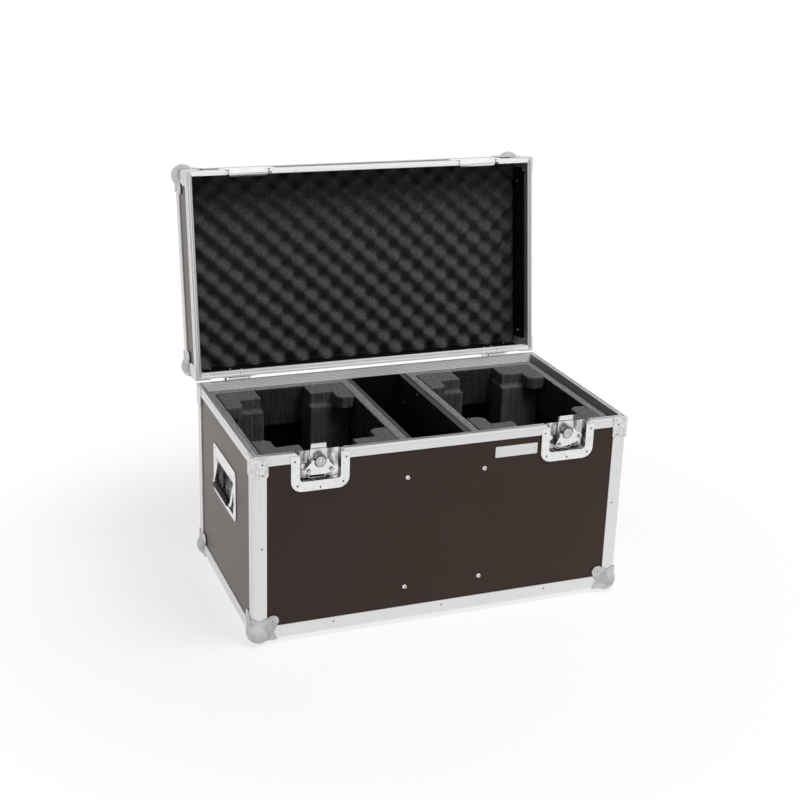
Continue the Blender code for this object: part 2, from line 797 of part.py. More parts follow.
def build_base_shell():
    post_low = edge_bottom + edge_leg + seat_gap
    post_high = rim_height - rim_outer_leg - seat_gap
    for side in corner_order:
        shape = combine(post(side, post_low, post_high), brace_steps(side, rim_height, -1))
        add_part("base_post_" + corner_names[side], shape, "aluminium")
    add_part("base_bottom_frame", edge_frame(edge_bottom, 1), "aluminium")
    closing_profiles("base", rim_outline(False), rim_height, None, lambda shape: shape)
    low = edge_bottom + profile_width + seat_gap
    high = rim_height - rim_web - seat_gap
    right = half_width - panel_inset
    notch_outer = latch_centre + dish_half_width + dish_wall + seat_gap
    notch_inner = latch_centre - dish_half_width - dish_wall - seat_gap
    notch_low = rim_height - dish_base_reach - dish_wall - seat_gap
    front = [(-right, low), (right, low), (right, high), (notch_outer, high), (notch_outer, notch_low),
             (notch_inner, notch_low), (notch_inner, high), (-notch_inner, high), (-notch_inner, notch_low),
             (-notch_outer, notch_low), (-notch_outer, high), (-right, high)]
    panel("base_front_panel", front, front_place, -half_depth + panel_offset, -half_depth + inner_face)
    panel("base_back_panel", rectangle((-right, low), (right, high)), front_place,
          half_depth - inner_face, half_depth - panel_offset)
    back = half_depth - panel_inset
    cut_half = handle_dish_length / 2 + dish_wall + seat_gap
    cut_low = handle_height - handle_dish_bottom - dish_wall - seat_gap
    cut_high = handle_height + handle_dish_top + dish_wall + seat_gap
    opening = rounded_rectangle((handle_shift - cut_half, cut_low), (handle_shift + cut_half, cut_high),
                                handle_dish_round + dish_wall)
    for name, side in (("left", -1), ("right", 1)):
        outer = side * (half_width - panel_offset)
        inner = side * (half_width - inner_face)
        board = prism(rectangle((-back, low), (back, high)), side_place, min(outer, inner), max(outer, inner))
        cutter = prism(opening, side_place, min(outer, inner) - panel_thickness,
                       max(outer, inner) + panel_thickness)
        add_part("base_" + name + "_panel", combine(board, [("DIFFERENCE", cutter)]), "board")
    side_gap = profile_width + seat_gap
    panel("base_bottom_panel", rectangle((-half_width + side_gap, -half_depth + side_gap),
                                         (half_width - side_gap, half_depth - side_gap)),
          flat_place, 0.0, panel_thickness)


def add_ball_corners(prefix, level, upward, parent, settle):
    """Four ball corners round a level, the case lying above it when upward is 1."""
    master = ball_corner()
    for side in corner_order:
        shape = mirrored(master, (-side[0], -side[1], upward))
        shape.transform(Matrix.Translation((side[0] * half_width, side[1] * half_depth, level)))
        add_part(prefix + "_ball_corner_" + corner_names[side], settle(shape), "steel", parent)


def build_bays():
    """Two dividers, a lining ring in each outer bay and four corner blocks in each."""
    end = half_depth - inner_face - seat_gap
    foot = edge_bottom + edge_inner_leg + seat_gap
    foot_in = half_depth - edge_inner_leg - seat_gap
    top = rim_height - rim_inner_leg - seat_gap
    outline = [(-foot_in, floor_top), (foot_in, floor_top), (foot_in, foot), (end, foot), (end, top),
               (-end, top), (-end, foot), (-foot_in, foot)]
    for name, side in (("left", -1), ("right", 1)):
        near = centre_bay_shift + side * centre_bay_width / 2
        far = near + side * divider_thickness
        panel("divider_" + name, outline, side_place, min(near, far), max(near, far), None, "inner_board")
        wall = side * (half_width - panel_inset)
        foam_edge = far + side * seat_gap
        build_bay_foam(name, side, min(wall, foam_edge), max(wall, foam_edge))


def build_bay_foam(name, side, low_x, high_x):
    """Lining ring of one bay, notched behind its latch dish, and the four corner blocks."""
    end = half_depth - panel_inset
    wall = lining_thickness
    ring = prism(rectangle((low_x, -end), (high_x, end)), flat_place, lining_low, foam_top)
    inside = rectangle((low_x + wall, -end + wall), (high_x - wall, end - wall))
    hollow = prism(inside, flat_place, lining_low - wall, foam_top + wall)
    tub_half = dish_half_width + dish_wall + seat_gap
    pocket_back = -half_depth + dish_depth + dish_wall + seat_gap
    pocket_low = rim_height - dish_base_reach - dish_wall - seat_gap
    latch_x = side * latch_centre
    pocket = box((latch_x - tub_half, -half_depth, pocket_low), (latch_x + tub_half, pocket_back, rim_height))
    lining = combine(ring, [("DIFFERENCE", hollow), ("DIFFERENCE", pocket)])
    add_part("bay_lining_" + name, lining, "foam")
    inset = wall + seat_gap
    flanks = (("left", low_x + inset, 1), ("right", high_x - inset, -1))
    for end_name, end_side in (("front", -1), ("back", 1)):
        for flank_name, corner_x, turn_x in flanks:
            corner_y = end_side * (end - inset)
            block = foam_block(corner_x, turn_x, corner_y, -end_side)
            add_part("foam_block_" + name + "_" + end_name + "_" + flank_name, block, "foam")


def foam_block(corner_x, turn_x, corner_y, turn_y):
    """L-shaped plate on a plain pillar, from its outer corner inwards along turn_x and turn_y."""
    cut = block_corner_cut

    def spot(u, v):
        return (corner_x + turn_x * u, corner_y + turn_y * v)

    plate = [spot(0.0, 0.0), spot(block_length_x, 0.0), spot(block_length_x, block_arm_y),
             spot(block_arm_x, block_arm_y), spot(block_arm_x, block_length_y - cut),
             spot(block_arm_x - cut, block_length_y), spot(0.0, block_length_y)]
    pillar = [spot(0.0, 0.0), spot(block_length_x + pillar_overhang_x, 0.0),
              spot(block_length_x + pillar_overhang_x, block_arm_y + pillar_overhang_y),
              spot(0.0, block_arm_y + pillar_overhang_y)]
    plate_low = foam_top - block_plate_thickness
    body = prism(pillar, flat_place, floor_top, plate_low)
    return combine(body, [("UNION", prism(plate, flat_place, plate_low - seat_gap, foam_top))])


def build_latches(lid_axis, to_lid):
    for name, side in (("left", -1), ("right", 1)):
        centre = Vector((side * latch_centre, -half_depth, rim_height))
        base_dish = moved(latch_dish(-1, latch_base_reach, dish_base_reach, latch_outer_round), centre)
        add_part("latch_dish_" + name, base_dish, "steel")
        catch = latch_dish(1, latch_lid_reach, dish_lid_reach, latch_lid_round)
        lid_dish = combine(catch, [("UNION", latch_strike())])
        lid_dish = moved(lid_dish, Vector((side * latch_centre, -half_depth, lid_rim)))
        add_part("latch_catch_" + name, to_lid(lid_dish), "steel", lid_axis)
        angle = wing_turned_at_rest[name]
        hub_place = centre + Vector((0.0, 0.0, -hub_drop))
        hub_axis = bpy.data.objects.new("latch_hub_axis_" + name, None)
        bpy.context.scene.collection.objects.link(hub_axis)
        hub_axis.location = hub_place
        hub_axis.rotation_euler = (0.0, -angle, 0.0)
        add_part("latch_hub_" + name, latch_hub(), "steel", hub_axis)
        wing_axis = bpy.data.objects.new("latch_wing_axis_" + name, None)
        bpy.context.scene.collection.objects.link(wing_axis)
        wing_axis.parent = hub_axis
        wing_axis.location = (0.0, wing_axis_depth, 0.0)
        wing = moved(latch_wing(), Vector((0.0, -wing_axis_depth, 0.0)))
        add_part("latch_wing_" + name, wing, "steel", wing_axis)
        share = angle / latch_turn
        hook = add_part("latch_hook_" + name, latch_hook(), "steel")
        hook.location = centre + Vector((0.0, -hook_travel_forward, -hook_travel_down)) * share


def build_handles():
    for name, side in (("left", -1), ("right", 1)):
        place = Vector((side * half_width, handle_shift, handle_height))
        dish = mirrored(handle_dish(), (-side, 1, 1))
        add_part("handle_dish_" + name, moved(dish, place), "steel")
        bail = mirrored(handle_bail(), (-side, 1, 1))
        part = add_part("handle_grip_" + name, bail, "grip")
        part.location = place + Vector((-side * handle_pivot_depth, 0.0, handle_pivot_rise))


def build_lid(lid_axis, to_lid):
    """Everything that the lid carries, built closed and handed to the hinge's empty."""
    frame_low = lid_rim + rim_outer_leg + seat_gap
    frame = edge_frame(lid_top, -1)
    steps = []
    for side in corner_order:
        steps.append(("UNION", post(side, frame_low, lid_top - edge_leg + seat_gap)))
        steps += brace_steps(side, lid_rim, 1)
    add_part("lid_edge_frame", to_lid(combine(frame, steps)), "aluminium", lid_axis)
    closing_profiles("lid", rim_outline(True), lid_rim, lid_axis, to_lid)
    low = lid_rim + rim_web + seat_gap
    high = lid_top - profile_width - seat_gap
    right = half_width - panel_inset
    notch_outer = latch_centre + dish_half_width + dish_wall + seat_gap
    notch_inner = latch_centre - dish_half_width - dish_wall - seat_gap
    notch_high = lid_rim + dish_lid_reach + dish_wall + seat_gap
    front = [(-right, low), (-notch_outer, low), (-notch_outer, notch_high), (-notch_inner, notch_high),
             (-notch_inner, low), (notch_inner, low), (notch_inner, notch_high), (notch_outer, notch_high),
             (notch_outer, low), (right, low), (right, high), (-right, high)]
    near = -half_depth + panel_offset
    far = -half_depth + inner_face
    add_part("lid_front_panel", to_lid(prism(front, front_place, near, far)), "board", lid_axis)
    plain = rectangle((-right, low), (right, high))
    add_part("lid_back_panel", to_lid(prism(plain, front_place, -far, -near)), "board", lid_axis)
    back = half_depth - panel_inset
    for name, side in (("left", -1), ("right", 1)):
        outer = side * (half_width - panel_offset)
        inner = side * (half_width - inner_face)
        board = prism(rectangle((-back, low), (back, high)), side_place, min(outer, inner), max(outer, inner))
        add_part("lid_" + name + "_panel", to_lid(board), "board", lid_axis)
    side_gap = profile_width + seat_gap
    top = box((-half_width + side_gap, -half_depth + side_gap, lid_top - inner_face),
              (half_width - side_gap, half_depth - side_gap, lid_top - panel_offset))
    add_part("lid_top_panel", to_lid(top), "board", lid_axis)
    add_ball_corners("lid", lid_top, -1, lid_axis, to_lid)
    add_part("egg_crate_foam", to_lid(egg_crate_foam()), "foam", lid_axis)


def build_hinges(lid_axis, to_lid):
    for name, side in (("left", -1), ("right", 1)):
        place = Vector((side * hinge_place, hinge_y, hinge_z))
        add_part("hinge_base_leaf_" + name, moved(hinge_leaf(False), place), "steel")
        add_part("hinge_lid_leaf_" + name, to_lid(moved(hinge_leaf(True), place)), "steel", lid_axis)


def build_nameplate():
    low = (nameplate_end - nameplate_length, rim_height - nameplate_drop - nameplate_height / 2)
    high = (nameplate_end, low[1] + nameplate_height)
    face = -half_depth + panel_offset - seat_gap
    plate = prism(rounded_rectangle(low, high, nameplate_round), front_place, face - nameplate_sheet, face)
    add_part("nameplate", plate, "aluminium")


def main():
    clean_scene()
    lid_axis = bpy.data.objects.new("lid_hinge_axis", None)
    bpy.context.scene.collection.objects.link(lid_axis)
    lid_axis.location = (0.0, hinge_y, hinge_z)
    lid_axis.rotation_euler = (-lid_open_angle, 0.0, 0.0)

    def to_lid(mesh):
        """Mesh of a closed lid part, measured from the hinge line."""
        return moved(mesh, Vector((0.0, -hinge_y, -hinge_z)))

    build_base_shell()
    add_ball_corners("base", edge_bottom, 1, None, lambda shape: shape)
    build_bays()
    build_latches(lid_axis, to_lid)
    build_handles()
    build_lid(lid_axis, to_lid)
    build_hinges(lid_axis, to_lid)
    build_nameplate()
    for part in bpy.context.scene.objects:
        if part.type == "MESH":
            part.data.shade_smooth()
            part.data.set_sharp_from_angle(angle=smooth_limit)


main()
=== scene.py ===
# %% [markdown]
# # A flight case with its lid open
#
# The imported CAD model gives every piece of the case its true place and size. This lesson dresses it: each
# surface gets a finish, and the pieces whose shape matters to the eye are modelled again with more detail.
# The frame is loaded first, and nothing in it is moved: a new piece is fitted to it instead.
# %% Load the frame
import json
import math

import bmesh
import bpy
from mathutils import Matrix, Vector

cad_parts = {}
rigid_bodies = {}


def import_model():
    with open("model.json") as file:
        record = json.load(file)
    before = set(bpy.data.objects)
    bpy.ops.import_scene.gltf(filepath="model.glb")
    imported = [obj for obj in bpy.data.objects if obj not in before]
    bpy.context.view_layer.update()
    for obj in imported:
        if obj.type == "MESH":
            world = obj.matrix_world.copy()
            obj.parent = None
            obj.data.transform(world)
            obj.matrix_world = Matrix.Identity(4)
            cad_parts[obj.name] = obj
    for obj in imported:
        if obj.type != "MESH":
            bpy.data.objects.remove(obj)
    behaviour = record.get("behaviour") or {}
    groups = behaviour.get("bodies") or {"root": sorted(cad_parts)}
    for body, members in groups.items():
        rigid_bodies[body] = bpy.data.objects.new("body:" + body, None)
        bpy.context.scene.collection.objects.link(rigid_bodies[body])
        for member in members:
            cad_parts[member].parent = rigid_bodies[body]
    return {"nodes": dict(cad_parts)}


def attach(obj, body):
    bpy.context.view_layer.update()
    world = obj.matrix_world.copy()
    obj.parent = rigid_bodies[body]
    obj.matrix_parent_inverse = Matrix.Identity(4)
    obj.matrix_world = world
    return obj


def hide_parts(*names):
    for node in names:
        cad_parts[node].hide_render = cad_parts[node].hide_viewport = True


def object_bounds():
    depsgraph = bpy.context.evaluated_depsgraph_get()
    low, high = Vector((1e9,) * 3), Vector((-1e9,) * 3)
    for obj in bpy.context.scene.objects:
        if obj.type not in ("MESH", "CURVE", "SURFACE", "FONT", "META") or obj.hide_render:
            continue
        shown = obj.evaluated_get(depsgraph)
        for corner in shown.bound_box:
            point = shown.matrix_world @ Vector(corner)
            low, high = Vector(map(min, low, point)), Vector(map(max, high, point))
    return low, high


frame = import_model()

cad_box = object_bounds()

# %% [markdown]
# ## Sizes shared with the CAD
#
# The script can't read the part's source, so the few sizes that new pieces line up with are written here
# again, in metres, with the same names. The case is 720 mm wide over its edges; the lid is stored open at
# 98 degrees. Lid pieces are modelled with the lid closed, which is easier to think about, and swung open.
# %% Sizes of the case
HALF_WIDTH, HALF_DEPTH = 0.360, 0.200
BOTTOM, RIM = -0.0015, 0.3505
LID_RIM, LID_TOP = 0.3508, 0.4528
PROFILE_WIDTH = 0.0094
LATCH_X, LATCH_NOTCH, HUB_Z = 0.239, 0.0385, 0.330
HANDLE_Y, HANDLE_Z = -0.0025, 0.226
HINGE_X, HINGE_Y, HINGE_Z = 0.275, 0.2036, 0.35065
FOAM_TOP = 0.335
LID_OPEN, QUARTER_TURN = math.radians(98.0), math.radians(90.0)
RIGHT, BACK, UP = Vector((1.0, 0.0, 0.0)), Vector((0.0, 1.0, 0.0)), Vector((0.0, 0.0, 1.0))
SIDES = (("left", -1), ("right", 1))
CORNERS = (("front_left", -1, -1), ("front_right", 1, -1), ("back_right", 1, 1), ("back_left", -1, 1))

# %% Swing a closed-lid piece open
hinge_line = Matrix.Translation((0.0, HINGE_Y, HINGE_Z))
OPEN_LID = hinge_line @ Matrix.Rotation(-LID_OPEN, 4, "X") @ hinge_line.inverted()
CLOSE_LID = OPEN_LID.inverted()
print("the lid swings about y", HINGE_Y, "and z", HINGE_Z)

# %% [markdown]
# ## Camera
#
# The photograph was solved for its camera beforehand: the straight edges of the case give the angles, the
# distance and the focal length. The case is seen from its left, from a little above, with a slight roll.
# %% Camera
AZIMUTH, ELEVATION, ROLL = (math.radians(angle) for angle in (-21.51, 19.943, 1.851))
CAMERA_PLACE, LENS, SENSOR, SIGHT_END = Vector((-0.9477, -2.3630, 1.2719)), 64.07, 36.0, 50.0
ahead = Vector((-math.sin(AZIMUTH) * math.cos(ELEVATION), math.cos(AZIMUTH) * math.cos(ELEVATION),
                -math.sin(ELEVATION)))
level = Vector((math.cos(AZIMUTH), math.sin(AZIMUTH), 0.0))
upright = level.cross(ahead)
camera_right = level * math.cos(ROLL) + upright * math.sin(ROLL)
camera_up = upright * math.cos(ROLL) - level * math.sin(ROLL)
camera_data = bpy.data.cameras.new("camera")
camera_data.sensor_width = SENSOR
camera_data.lens = LENS
camera_data.clip_end = SIGHT_END
camera = bpy.data.objects.new("camera", camera_data)
bpy.context.scene.collection.objects.link(camera)
turn = Matrix((camera_right, camera_up, -ahead)).transposed().to_4x4()
camera.matrix_world = Matrix.Translation(CAMERA_PLACE) @ turn
bpy.context.scene.camera = camera
bpy.context.scene.view_settings.view_transform = "Standard"
print("camera distance to the case:", round(CAMERA_PLACE.length, 3), "m")

# %% [markdown]
# ## A small language for finishes
#
# Every finish is a node tree. Two classes keep the trees readable: `Value` is a number that changes over the
# surface, and a sum or product of values adds the Math nodes that work it out; `Finish` is the material that
# is being built, with one method, `node`, that adds any other node from its settings and its inputs.
# %% Values


class Value:
    """A number that changes over a surface; arithmetic on it adds Math nodes."""

    def __init__(self, finish, socket):
        self.finish = finish
        self.socket = socket

    def __add__(self, other):
        return self.finish.math("ADD", self, other)

    __radd__ = __add__

    def __sub__(self, other):
        return self.finish.math("SUBTRACT", self, other)

    def __rsub__(self, other):
        return self.finish.math("SUBTRACT", other, self)

    def __mul__(self, other):
        return self.finish.math("MULTIPLY", self, other)

    __rmul__ = __mul__

    def __gt__(self, other):
        return self.finish.math("GREATER_THAN", self, other)


# %% Finishes


def grey(level):
    return (level, level, level, 1.0)


class Finish:
    """A material under construction, with its constant numbers set on the shader's own sockets."""

    def __init__(self, name, **constants):
        self.material = bpy.data.materials.new(name)
        self.material.use_nodes = True
        self.tree = self.material.node_tree
        self.shader = self.tree.nodes["Principled BSDF"]
        for socket, value in constants.items():
            self.shader.inputs[socket.replace("_", " ")].default_value = value
        self.place = self.node("ShaderNodeTexCoord").outputs["Object"]

    def node(self, kind, settings=None, inputs=None):
        node = self.tree.nodes.new(kind)
        for key, value in (settings or {}).items():
            setattr(node, key, value)
        for key, value in (inputs or {}).items():
            self.feed(node.inputs[key], value)
        return node

    def feed(self, socket, value):
        value = value.socket if isinstance(value, Value) else value
        if isinstance(value, bpy.types.NodeSocket):
            self.tree.links.new(value, socket)
        else:
            socket.default_value = value

    def value(self, kind, settings=None, inputs=None, output=0):
        return Value(self, self.node(kind, settings, inputs).outputs[output])

    def set(self, socket, value):
        self.feed(self.shader.inputs[socket], value)

    def stretched(self, stretch):
        return self.node("ShaderNodeMapping", {}, {"Vector": self.place, "Scale": stretch}).outputs[0]

    def math(self, operation, first, second=0.0):
        return self.value("ShaderNodeMath", {"operation": operation}, {0: first, 1: second})

    def noise(self, scale, detail=2.0, stretch=(1.0, 1.0, 1.0)):
        inputs = {"Vector": self.stretched(stretch), "Scale": scale, "Detail": detail}
        return self.value("ShaderNodeTexNoise", {}, inputs)

    def cells(self, scale):
        inputs = {"Vector": self.place, "Scale": scale}
        return self.value("ShaderNodeTexVoronoi", {}, inputs)

    def range(self, value, low, high, new_low=0.0, new_high=1.0):
        inputs = {0: value, 1: low, 2: high, 3: new_low, 4: new_high}
        return self.value("ShaderNodeMapRange", {"interpolation_type": "SMOOTHSTEP"}, inputs)

    def along(self, axis):
        """How far a point lies along an axis from the origin."""
        settings = {"operation": "DOT_PRODUCT"}
        return self.value("ShaderNodeVectorMath", settings, {0: self.place, 1: axis}, "Value")

    def mix(self, factor, first, second):
        node = self.node("ShaderNodeMix", {"data_type": "RGBA"}, {0: factor, 6: first, 7: second})
        return node.outputs[2]

    def greys(self, factor, dark, light):
        """Lets the base colour change from a dark to a light grey."""
        self.set("Base Color", self.mix(factor, grey(dark), grey(light)))

    def bump(self, height, distance, strength=1.0):
        inputs = {"Height": height, "Distance": distance, "Strength": strength}
        self.set("Normal", self.node("ShaderNodeBump", {}, inputs).outputs["Normal"])


def even_finish(name, scale, detail, greys, rough, spread, bump=None, stretch=(1.0, 1.0, 1.0), **constants):
    """A finish whose one noise gives its grey, its roughness and, with a depth, its bump."""
    finish = Finish(name, **constants)
    grain = finish.noise(scale, detail, stretch)
    finish.greys(grain, *greys)
    finish.set("Roughness", rough + grain * spread)
    if bump:
        finish.bump(grain, bump, 0.5)
    return finish.material


# %% [markdown]
# ## Brown laminate
#
# The boards are birch plywood faced with a dark brown phenolic film: satin, with a faint cloudiness, a very
# fine pressed grain and a warm sheen when it is seen along its surface. Their inner faces are black and dull.
# One board shows both, so its faces are sorted by which side of the sheet's middle they lie on.
# %% Brown laminate and black inside
FILM_DARK = (0.0230, 0.0126, 0.0094, 1.0)
FILM_LIGHT = (0.0270, 0.0154, 0.0120, 1.0)
FILM_SHEEN = (1.0, 0.56, 0.34, 1.0)
FILM_TINT = (1.0, 0.88, 0.82, 1.0)

film = Finish("brown_film", Specular_IOR_Level=0.30, Specular_Tint=FILM_TINT, Sheen_Weight=0.20,
              Sheen_Roughness=0.45, Sheen_Tint=FILM_SHEEN)
clouds = film.noise(9.0, 4.0)
weave = film.noise(420.0, 2.0)
film.set("Base Color", film.mix(film.range(clouds * 0.5 + weave * 0.5, 0.36, 0.64), FILM_DARK, FILM_LIGHT))
film.set("Roughness", 0.26 + clouds * 0.06)
film.bump(film.noise(1900.0, 3.0) + film.noise(260.0, 2.0) * 0.5, 0.00006, 0.5)
black = even_finish("black_inside", 240.0, 3.0, (0.0018, 0.0045), 0.60, 0.25, 0.00008,
                    Specular_IOR_Level=0.10)

# %% Put the laminate on the ten outer boards
lid_up, lid_back = OPEN_LID.to_3x3() @ UP, OPEN_LID.to_3x3() @ BACK
outward_axes = {
    "base_front_panel": -BACK, "base_back_panel": BACK, "base_left_panel": -RIGHT, "base_right_panel": RIGHT,
    "base_bottom_panel": -UP, "lid_top_panel": lid_up, "lid_front_panel": -lid_back,
    "lid_back_panel": lid_back, "lid_left_panel": -RIGHT, "lid_right_panel": RIGHT,
}


def dress(node, *materials):
    """Gives a CAD node its materials."""
    mesh = frame["nodes"][node].data
    mesh.materials.clear()
    for material in materials:
        mesh.materials.append(material)
    return mesh


for board, axis in outward_axes.items():
    mesh = dress(board, film.material, black)
    spans = [vertex.co.dot(axis) for vertex in mesh.vertices]
    middle = (min(spans) + max(spans)) / 2
    for face in mesh.polygons:
        face.material_index = int(face.center.dot(axis) < middle)
print("laminated boards:", len(outward_axes))

# %% [markdown]
# ## Metals
#
# Three metals make the case bright. The edge angles are extruded aluminium, satin, with fine drawing lines.
# The ball corners, latches, hinges and handle plates are pressed steel with a bright zinc skin that is never
# quite flat. Rivets are the same zinc, with the dark end of the mandrel in the middle. Each kind is a
# function, so that paler and darker copies of one metal can be made: paler ones are painted light where the
# metal faces a white room, darker ones painted shade and reflection where it faces the black case.
# %% Drawn and ribbed aluminium


def drawn_aluminium(name, stretch, dark=0.70, light=0.84):
    """Satin aluminium with drawing lines along the axis that the stretch leaves short."""
    metal = Finish(name, Metallic=1.0)
    lines = metal.noise(700.0, 3.0, stretch)
    smudge = metal.noise(14.0, 3.0)
    metal.greys(lines, dark, light)
    metal.set("Roughness", 0.36 + smudge * 0.14 + lines * 0.05)
    metal.bump(lines, 0.00002, 0.3)
    return metal.material


def ribbed_aluminium(name, level, groove_shade_level, metallic=1.0, groove_width=0.24):
    """The same metal with ribs: a strip's own map counts its ribs across, a whole number is a groove, and the
    groove is painted darker as painted shade.
    """
    metal = Finish(name, Metallic=metallic)
    across = metal.node("ShaderNodeUVMap", {"uv_map": "ribs"}).outputs["UV"]
    count = metal.value("ShaderNodeSeparateXYZ", {}, {0: across}, "Y")
    groove = metal.range(metal.math("PINGPONG", count, 0.5), 0.06, groove_width, 1.0, 0.0)
    smudge = metal.noise(18.0, 3.0)
    lines = metal.noise(240.0, 2.0)
    bright = metal.mix(smudge, grey(level - 0.05), grey(level + 0.03))
    # The grooves get a darker grey: painted shade in the ribs.
    metal.set("Base Color", metal.mix(groove, bright, grey(groove_shade_level)))
    metal.set("Roughness", 0.34 + smudge * 0.12 + groove * 0.15 + lines * 0.04)
    return metal.material


ALONG_X, ALONG_Z = (0.02, 1.0, 1.0), (1.0, 1.0, 0.02)
aluminium_x = drawn_aluminium("aluminium_along_x", ALONG_X)
aluminium_z = drawn_aluminium("aluminium_along_z", ALONG_Z)
# The lid's profiles are a paler copy, painted light. The rims' ribs have dark grooves of painted shade.
lit_aluminium_lid = drawn_aluminium("aluminium_on_lid_painted_light", ALONG_X, 0.86, 0.97)
outer_ribs = ribbed_aluminium("ribbed_aluminium_outside", 0.80, 0.64)
rim_ribs = ribbed_aluminium("ribbed_aluminium_on_rims", 0.82, 0.34, 1.0, 0.30)
# The lid's rim ribs are a paler copy, painted light; its side ribs a darker copy, painted shade.
lit_lid_ribs = ribbed_aluminium("ribbed_aluminium_on_lid_painted_light", 0.94, 0.82)
shaded_lid_side_ribs = ribbed_aluminium("ribbed_aluminium_on_lid_sides_painted_shade", 0.60, 0.24, 1.0, 0.30)
# The inside ribs are a pale copy that is not metal, painted light; the flank ribs a dark copy, painted shade.
lit_inner_ribs = ribbed_aluminium("ribbed_aluminium_inside_painted_light", 0.95, 0.56, 0.0, 0.36)
shaded_ribs = ribbed_aluminium("ribbed_aluminium_shaded", 0.36, 0.16, 0.3, 0.36)
for node in frame["nodes"]:
    if "closing_profile" in node or "frame" in node:
        dress(node, lit_aluminium_lid if node.startswith("lid_closing") else aluminium_x)
    elif "post" in node:
        dress(node, aluminium_z)
print("materials so far:", len(bpy.data.materials))

# %% Zinc and dark steel


def zinc(name, dark, light, rough, cloud_scale=110.0):
    """Bright plated steel, slightly wavy and clouded."""
    metal = Finish(name, Metallic=1.0)
    cloud = metal.noise(cloud_scale, 3.0)
    fine = metal.noise(900.0, 2.0)
    metal.greys(metal.range(cloud, 0.32, 0.66), dark, light)
    metal.set("Roughness", rough + cloud * 0.14 + fine * 0.05)
    metal.bump(metal.noise(120.0, 2.0) + fine * 0.08, 0.00012, 0.5)
    return metal.material


def painted_reflection_and_shade_zinc(name, dark, light):
    """Zinc deep in a pressed dish, with streaks and patches of painted reflection and painted shade from the
    dark walls round it.
    """
    metal = Finish(name, Metallic=1.0)
    streak = metal.noise(75.0, 3.0, (1.0, 1.0, 0.35))
    fine = metal.noise(420.0, 2.0)
    metal.greys(metal.range(streak, 0.40, 0.62), dark, light)
    metal.set("Roughness", 0.14 + streak * 0.16 + fine * 0.05)
    metal.bump(streak, 0.0006, 0.5)
    return metal.material


bright_zinc = zinc("bright_zinc", 0.68, 0.88, 0.18)
satin_zinc = zinc("satin_zinc", 0.77, 0.85, 0.30)
# The catches are a paler copy of the satin zinc: painted light.
lit_catch_zinc = zinc("lit_catch_zinc", 0.90, 0.98, 0.24)
ball_zinc = zinc("ball_zinc", 0.42, 0.58, 0.30, 42.0)
brace_zinc = zinc("brace_zinc", 0.60, 0.78, 0.30, 160.0)
hub_zinc = zinc("hub_zinc", 0.36, 0.68, 0.26, 240.0)
# The latch dish's floor gets painted reflection, its right wall painted shade, and the handle dish's inside
# painted shade.
dish_painted_reflection = painted_reflection_and_shade_zinc("dish_painted_reflection", 0.20, 0.88)
dish_shade = painted_reflection_and_shade_zinc("dish_shade", 0.06, 0.34)
handle_painted_shade = painted_reflection_and_shade_zinc("handle_painted_shade", 0.015, 0.32)
# Dark steel for the mandrel ends of rivets, also used as painted shade in gaps, grooves, slots and recesses.
mandrel_and_shade = even_finish("mandrel_end_and_painted_shade", 1500.0, 2.0, (0.03, 0.07), 0.45, 0.2, Metallic=0.6)
seam_shadow = even_finish("seam_shadow", 800.0, 2.0, (0.14, 0.26), 0.5, 0.2, Metallic=0.6)
print("materials so far:", len(bpy.data.materials))

# %% [markdown]
# The latch hooks are flat bars folded at their top, with a dark line of painted shade along the fold. The
# line is painted by its height, and a mask of the same kind bumps the surface there.
# %% Zinc of the hooks
FOLD_Z = 0.3502
folded = Finish("folded_hook_zinc", Metallic=1.0)
off_fold = folded.math("ABSOLUTE", folded.along(UP) - FOLD_Z)
brushed = folded.noise(500.0, 3.0, (0.1, 1.0, 1.0))
# A narrow band along the fold is painted dark grey: painted shade in the crease.
folded.set("Base Color", folded.mix(folded.range(off_fold, 0.0004, 0.0014), grey(0.38),
                                    folded.mix(brushed, grey(0.66), grey(0.84))))
folded.set("Roughness", 0.24 + brushed * 0.16)
folded.bump(folded.range(off_fold, 0.0, 0.0016) + brushed * 0.04, 0.0006, 0.6)

# %% [markdown]
# ## Corner braces
#
# A stamped steel brace is riveted over each corner of the rim. In the CAD it is one solid with its post, or
# with the lid's edge frame, so its faces are found by where they lie: they stand 1.8 mm off the case's sides.
# %% Zinc on the corner braces
BRACE_STEP = 0.0012
brace_faces = 0
for node in frame["nodes"]:
    if "post" in node or node == "lid_edge_frame":
        mesh = frame["nodes"][node].data
        mesh.materials.append(brace_zinc)
        for face in mesh.polygons:
            middle = CLOSE_LID @ face.center if node == "lid_edge_frame" else face.center
            if abs(middle.x) > HALF_WIDTH + BRACE_STEP or abs(middle.y) > HALF_DEPTH + BRACE_STEP:
                face.material_index = 1
                brace_faces += 1
print("brace faces:", brace_faces)

# %% [markdown]
# ## Foam, board edges and rubber
#
# The linings and blocks are cut from dark grey open-cell foam: a mass of tiny pores that swallows light, with
# the saw's faint upright lines on its sides. The dividers are thin black-faced boards with raw top edges.
# %% Foam
TOP_SKIN = 0.0016


